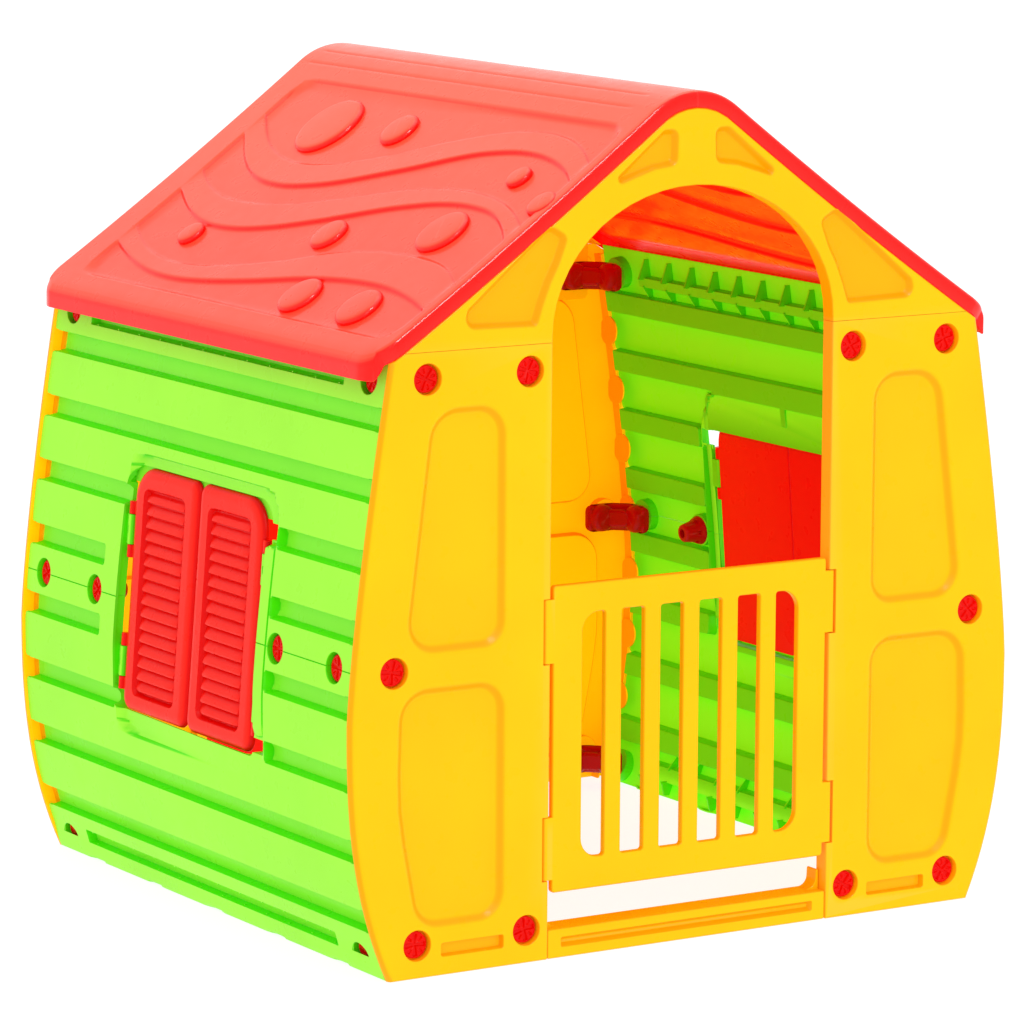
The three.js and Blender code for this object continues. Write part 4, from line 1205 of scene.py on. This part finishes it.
def plastic(name, colour, deep, painted_glow, roughness=0.3, coat=0.04):
    """Thin moulded plastic that daylight comes through.

    Its colour darkens towards the deep colour as painted shade where the surface is sunk or steep,
    its inner side has a painted glow that stands in for the light that the skin lets in, and it has
    a fine grain, slight flow marks and paler worn edges.
    """
    material = bpy.data.materials.new(name)
    material.use_nodes = True
    nodes, links = material.node_tree.nodes, material.node_tree.links
    shader = nodes["Principled BSDF"]
    shader.inputs["Specular IOR Level"].default_value = 0.08
    shader.inputs["Coat Weight"].default_value = coat
    shader.inputs["Coat Roughness"].default_value = 0.07
    place = nodes.new("ShaderNodeTexCoord")
    shape = nodes.new("ShaderNodeNewGeometry")

    def noise(scale, detail):
        made = nodes.new("ShaderNodeTexNoise")
        made.inputs["Scale"].default_value = scale
        made.inputs["Detail"].default_value = detail
        links.new(place.outputs["Object"], made.inputs["Vector"])
        return made.outputs["Fac"]

    def ramp(source, low, high, low_value, high_value):
        made = nodes.new("ShaderNodeMapRange")
        for socket, value in (("From Min", low), ("From Max", high),
                              ("To Min", low_value), ("To Max", high_value)):
            made.inputs[socket].default_value = value
        links.new(source, made.inputs["Value"])
        return made.outputs["Result"]

    def feed(socket, value):
        if isinstance(value, tuple):
            socket.default_value = value
        else:
            links.new(value, socket)

    def vector_math(operation, output, *values):
        made = nodes.new("ShaderNodeVectorMath")
        made.operation = operation
        for socket, value in zip(made.inputs, values):
            feed(socket, value)
        return made.outputs[output]

    def mix(factor, first, second):
        made = nodes.new("ShaderNodeMix")
        made.data_type = "RGBA"
        feed(made.inputs["Factor"], factor)
        feed(made.inputs[6], first)
        feed(made.inputs[7], second)
        return made.outputs[2]

    def bump(strength, distance, height):
        made = nodes.new("ShaderNodeBump")
        made.inputs["Strength"].default_value = strength
        made.inputs["Distance"].default_value = distance
        feed(made.inputs["Height"], height)
        return made

    cloudy = ramp(noise(5.5, 3), 0.35, 0.65, 0.0, 1.0)
    base = mix(cloudy, (*(c * 0.94 for c in colour), 1), (*colour, 1))
    # Painted shade: the colour turns to the deep colour where the sunk attribute marks a face sunk,
    # steep or inward.
    sunk = nodes.new("ShaderNodeAttribute")
    sunk.attribute_name = "sunk"
    base = mix(sunk.outputs["Fac"], base, (*deep, 1))
    worn = ramp(shape.outputs["Pointiness"], 0.53, 0.62, 0.0, 0.12)
    paler = (*(min(1.0, c * 0.8 + 0.2) for c in colour), 1)
    links.new(mix(worn, base, paler), shader.inputs["Base Color"])
    links.new(ramp(noise(38, 4), 0.3, 0.7, roughness - 0.05, roughness + 0.07),
              shader.inputs["Roughness"])

    # Painted glow: emission in the deep colour stands in for daylight let through the skin,
    # strongest on faces that look into the cabin and weaker where the painted shade is deep.
    inward = vector_math("SUBTRACT", "Vector", CABIN_MIDDLE, shape.outputs["Position"])
    inward = vector_math("NORMALIZE", "Vector", inward)
    facing = vector_math("DOT_PRODUCT", "Value", inward, shape.outputs["Normal"])
    shader.inputs["Emission Color"].default_value = (*deep, 1)
    light = nodes.new("ShaderNodeMath")
    light.operation = "MULTIPLY"
    links.new(ramp(facing, 0.1, 0.8, 0.03, painted_glow), light.inputs[0])
    links.new(ramp(sunk.outputs["Fac"], INNER_SHARE, 0.85, 1.0, 0.25), light.inputs[1])
    links.new(light.outputs["Value"], shader.inputs["Emission Strength"])

    grain = bump(0.1, 0.0004, noise(330, 1))
    flow = bump(0.2, 0.004, noise(7, 1))
    links.new(grain.outputs["Normal"], flow.inputs["Normal"])
    links.new(flow.outputs["Normal"], shader.inputs["Normal"])
    return material


# Each plastic: its colour, its deep colour for painted shade and painted glow, and the painted
# glow's strength.
YELLOW = plastic("yellow_plastic", (1.0, 0.58, 0.002), (1.0, 0.40, 0.001), 0.66)
GREEN = plastic("green_plastic", (0.37, 0.93, 0.045), (0.09, 0.78, 0.002), 0.46)
RED = plastic("red_plastic", (1.0, 0.018, 0.007), (0.80, 0.002, 0.001), 0.42)
# The roof shares the red plastic; its paler, pinker colour is painted sheen, the white sky's
# reflection on its upturned slopes.
ROOF_RED = plastic("roof_plastic", (1.0, 0.10, 0.045), (1.0, 0.004, 0.001), 0.9, coat=0.35)
SCREW_RED = plastic("screw_plastic", (0.86, 0.004, 0.001), (0.45, 0.001, 0.001), 0.1, 0.26)
CLIP_RED = plastic("clip_plastic", (0.42, 0.002, 0.001), (0.26, 0.001, 0.001), 0.08, 0.26)


# ---- Finished pieces ------------------------------------------------------------------------

# Edges that turn by more degrees than this stay sharp. A face is steep once the cosine between it
# and its way is under STEEP_COSINE, and fully so past STEEP_RUN. Steep faces get painted shade.
SHARP = 38
STEEP_COSINE = 0.97
STEEP_RUN = 0.28
ROOF_INNER_SHARE = 0.75


def paint_shade(obj, sunk, way, inner=INNER_SHARE):
    """Stores painted shade: how sunk or steep each corner of a face is, for its colour to darken
    there.

    `sunk` gives a share of painted shade from a point's depth. `way` is the direction that the face
    looks in, or gives it for each point. `inner` is the share of painted shade on faces that look
    into the cabin.
    """
    mesh = obj.data
    mesh.shade_smooth()
    mesh.set_sharp_from_angle(angle=np.radians(SHARP))
    corners = np.empty(len(mesh.loops), int)
    points = np.empty(len(mesh.vertices) * 3)
    normals = np.empty(len(mesh.loops) * 3)
    mesh.loops.foreach_get("vertex_index", corners)
    mesh.vertices.foreach_get("co", points)
    mesh.corner_normals.foreach_get("vector", normals)
    points, normals = points.reshape(-1, 3)[corners] / MM, normals.reshape(-1, 3)
    toward = (normals * (way(points) if callable(way) else way)).sum(1)
    # Painted shade: steep faces and faces that look into the cabin turn towards the deep colour.
    steep = smooth((STEEP_COSINE - np.abs(toward)) / STEEP_RUN)
    share = np.clip(np.maximum(sunk(points), np.maximum(steep, inner * smooth(-toward))), 0, 1)
    layer = mesh.attributes.new("sunk", "FLOAT", "CORNER")
    layer.data.foreach_set("value", share)
    return obj


# Painted shade: faces set back behind an end wall's front are a little darker, the gable's fields
# more so.
def end_sunk(points):
    return 0.1 * smooth((points[:, 1] - FRONT - 1.5) / 6)


def gable_sunk(points):
    return 6 * end_sunk(points)


END_WAY = np.array([0.0, -1.0, 0.0])


# Painted shade in the sunk bands of the side walls, darkest on their floors.
def wall_sunk(points):
    depth = wall_face(points[:, 2]) - points[:, 0]
    return 0.3 * smooth((depth - 1.5) / BAND_DEPTH) + 0.5 * smooth((depth - BAND_DEPTH - 0.5) / 2)


def wall_way(points):
    slope = (wall_face(points[:, 2] + 1) - wall_face(points[:, 2] - 1)) / 2
    return np.stack([np.cos(np.arctan(slope)), 0 * slope, -np.sin(np.arctan(slope))], 1)


SHUTTER_WAY = np.array([np.cos(LEAN), 0, np.sin(LEAN)])


# Painted shade between the slats, darker the deeper a point lies below the shutter's face.
def shutter_sunk(points):
    middle = np.array(HINGE_PLANE.translation) / MM
    depth = SHUTTER_THICK / 2 - (points - middle) @ SHUTTER_WAY
    return smooth((depth - 1) / (LOUVRE_DEPTH - 1.5))


# Painted shade on the roof's sunk field; the roof also gets darker towards the eave.
def roof_sunk(points):
    x, z, out_x, out_z = roof_point(np.abs(points[:, 0]))
    height = (np.abs(points[:, 0]) - x) * out_x + (points[:, 2] - z) * out_z
    lower = 0.25 * smooth((1020 - points[:, 2]) / 200)
    return lower + 0.1 * smooth(-height / FIELD_DEPTH)


def roof_way(points):
    out_x, out_z = roof_point(np.abs(points[:, 0]))[2:]
    return np.stack([out_x * np.sign(points[:, 0]), 0 * out_x, out_z], 1)


def finish(obj, node, body, material, slot, replaced=True):
    """Names a finished solid, shades it, and puts it on its body in place of a CAD node."""
    obj.name = f"{node}_moulding"
    obj.data.name = obj.name
    obj.data.materials.clear()
    obj.data.materials.append(material)
    obj.data.shade_smooth()
    obj.data.set_sharp_from_angle(angle=np.radians(SHARP))
    weigh = obj.modifiers.new("weigh", "WEIGHTED_NORMAL")
    weigh.keep_sharp = True
    weigh.weight = 60
    bake_modifiers(obj)
    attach(obj, body)
    if replaced:
        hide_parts(node)
    return obj


def build_ends():
    panels = {}
    for end, knuckles in (("front", GATE_KNUCKLES), ("back", DOOR_KNUCKLES)):
        panels[end] = [paint_shade(moved(end_panel(knuckles, with_pins), place_at(0, FRONT, 0)),
                             end_sunk, END_WAY) for with_pins in (True, False)]
    top = paint_shade(moved(gable(), place_at(0, FRONT, 0)), gable_sunk, END_WAY)
    step = paint_shade(moved(sill(), place_at(0, FRONT, 0)), end_sunk, END_WAY)
    yellow = ("house", YELLOW, "yellow_plastic")
    for end, turn, right, left in ENDS:
        pinned, plain = panels[end]
        finish(moved(pinned, turn @ MIRROR_X), f"{end}_panel_{left}", *yellow)
        finish(moved(plain, turn), f"{end}_panel_{right}", *yellow)
        finish(copied(top, turn), f"{end}_gable", *yellow)
        finish(copied(step, turn), f"{end}_sill", *yellow)
    discard(top)
    discard(step)


def build_walls():
    for level, foot, top in (("lower", 0, WALL_SEAM - GAP), ("upper", WALL_SEAM, WALL_HEIGHT)):
        wall = paint_shade(wall_half(foot, top), wall_sunk, wall_way)
        finish(copied(wall, HALF_TURN), f"left_wall_{level}", "house", GREEN, "green_plastic")
        finish(wall, f"right_wall_{level}", "house", GREEN, "green_plastic")
    for number, side in enumerate((-1, 1)):
        leaf = paint_shade(shutter(side), shutter_sunk, SHUTTER_WAY)
        for wall, turn, ends in reversed(WALLS):
            name = f"{wall}_shutter_{ends[number]}"
            finish(copied(leaf, turn), name, name, RED, "red_plastic")
        discard(leaf)


def build_leaves():
    gate = paint_shade(front_gate(), end_sunk, END_WAY)
    finish(gate, "front_gate", "gate", YELLOW, "yellow_plastic")
    door = paint_shade(back_door(), end_sunk, END_WAY)
    finish(moved(door, HALF_TURN), "back_door", "back_door", RED, "red_plastic")


def build_roof():
    half = paint_shade(roof_half(), roof_sunk, roof_way, ROOF_INNER_SHARE)
    finish(copied(half, HALF_TURN), "roof_left", "house", ROOF_RED, "red_plastic")
    finish(half, "roof_right", "house", ROOF_RED, "red_plastic")


def build_screws():
    model = screw()
    spots = []
    for end, turn, right, left in ENDS:
        for i, (x, z) in enumerate(END_SCREWS):
            for name, side in ((left, -1), (right, 1)):
                spots.append((f"{end}_screw_{name}_{i + 1}",
                              turn @ place_at(side * x, FRONT + HEAD_SINK, z), True))
    for wall, turn, ends in WALLS:
        for number, z in ((1, WALL_SCREW_Z[1]), (2, WALL_SCREW_Z[0])):
            for end, side in zip(ends, (-1, 1)):
                stand = turn @ wall_normal(side * WALL_SCREW_Y, z) @ place_at(0, HEAD_SINK, 0)
                spots.append((f"{wall}_screw_{end}_{number}", stand, True))
        for number, y in enumerate(MID_SCREWS_Y):
            for end, side in zip(ends, (-1, 1)):
                stand = turn @ wall_normal(side * y, WALL_SEAM) @ place_at(0, HEAD_SINK, 0)
                spots.append((f"{wall}_mid_screw_{end}_{number + 1}", stand, False))
    for i, (name, stand, replaced) in enumerate(spots):
        turned = stand @ Matrix.Rotation(i * 0.7, 4, "Y")
        finish(copied(model, turned), name, "house", SCREW_RED, "screw_plastic", replaced)
    discard(model)


def build_nuts():
    model = cone_nut()
    for wall, turn, _ in WALLS:
        for number, side in enumerate((-1, 1)):
            stand = turn @ wall_normal(side * MID_SCREWS_Y[1], WALL_SEAM) @ place_at(0, 15.5, 0)
            finish(copied(model, stand), f"{wall}_cone_nut_{number + 1}", "house", CLIP_RED,
                   "clip_plastic", False)
    discard(model)


def build_clips():
    for level, z in CLIP_HEIGHTS:
        clip = corner_clip(z)
        for end, turn, right, left in ENDS:
            for side, matrix in ((right, turn), (left, turn @ MIRROR_X)):
                finish(copied(clip, matrix), f"clip_{end}_{side}_{level}", "house", CLIP_RED,
                       "clip_plastic")
        discard(clip)


# ---- Studio ---------------------------------------------------------------------------------

CAMERA_AT = Vector((-3.739, -6.012, 1.655))
CAMERA_YAW = np.radians(31.944)
CAMERA_PITCH = np.radians(9.331)
CAMERA_ROLL = np.radians(0.328)
CAMERA_LENS = 188.27
FLOOR_HALF = 40
FLOOR_DROP = 0.0005

# Each light: its name, place, side and power.
LIGHTS = (
    ("key", (-2.5, -5.0, 3.5), 2.0, 36),
    ("top", (0.5, 0.5, 4.5), 3.0, 50),
    ("glint", (-0.8, -3.1, 4.7), 1.4, 150),
)
LIGHTS_AIM = Vector((0, 0, 0.5))


def build_camera():
    data = bpy.data.cameras.new("camera")
    data.sensor_width = 36
    data.lens = CAMERA_LENS
    data.clip_end = 100
    camera = bpy.data.objects.new("camera", data)
    bpy.context.scene.collection.objects.link(camera)
    ahead = Vector((np.sin(CAMERA_YAW) * np.cos(CAMERA_PITCH),
                    np.cos(CAMERA_YAW) * np.cos(CAMERA_PITCH), -np.sin(CAMERA_PITCH)))
    right = Vector((np.cos(CAMERA_YAW), -np.sin(CAMERA_YAW), 0))
    up = right.cross(ahead)
    tilted_right = right * np.cos(CAMERA_ROLL) + up * np.sin(CAMERA_ROLL)
    tilted_up = up * np.cos(CAMERA_ROLL) - right * np.sin(CAMERA_ROLL)
    turn = Matrix((tilted_right, tilted_up, -ahead)).transposed().to_4x4()
    camera.matrix_world = Matrix.Translation(CAMERA_AT) @ turn
    bpy.context.scene.camera = camera


def build_floor():
    mesh = bpy.data.meshes.new("floor")
    signs = ((-1, -1), (1, -1), (1, 1), (-1, 1))
    mesh.from_pydata([(a * FLOOR_HALF, b * FLOOR_HALF, 0) for a, b in signs], [], [(0, 1, 2, 3)])
    floor = bpy.data.objects.new("floor", mesh)
    floor.location.z = -FLOOR_DROP
    bpy.context.scene.collection.objects.link(floor)
    material = bpy.data.materials.new("floor")
    material.use_nodes = True
    shader = material.node_tree.nodes["Principled BSDF"]
    shader.inputs["Base Color"].default_value = (0.25, 0.25, 0.25, 1)
    shader.inputs["Roughness"].default_value = 0.9
    shader.inputs["Specular IOR Level"].default_value = 0.1
    shader.inputs["Emission Color"].default_value = (1, 1, 1, 1)
    shader.inputs["Emission Strength"].default_value = 0.85
    mesh.materials.append(material)


def area_light(name, at, side, power):
    data = bpy.data.lights.new(name, "AREA")
    data.shape = "SQUARE"
    data.size = side
    data.energy = power
    light = bpy.data.objects.new(name, data)
    bpy.context.scene.collection.objects.link(light)
    light.location = at
    light.rotation_euler = (LIGHTS_AIM - Vector(at)).to_track_quat("-Z", "Y").to_euler()
    # The glint only shows in what reflects it.
    light.visible_diffuse = name != "glint"


def build_lights():
    world = bpy.data.worlds.new("studio")
    world.use_nodes = True
    background = world.node_tree.nodes["Background"]
    background.inputs["Color"].default_value = (1, 1, 1, 1)
    background.inputs["Strength"].default_value = 1.0
    bpy.context.scene.world = world
    for light in LIGHTS:
        area_light(*light)
    bpy.context.scene.view_settings.view_transform = "Standard"


build_camera()
build_floor()
build_lights()
build_ends()
build_walls()
build_leaves()
build_roof()
build_screws()
build_nuts()
build_clips()
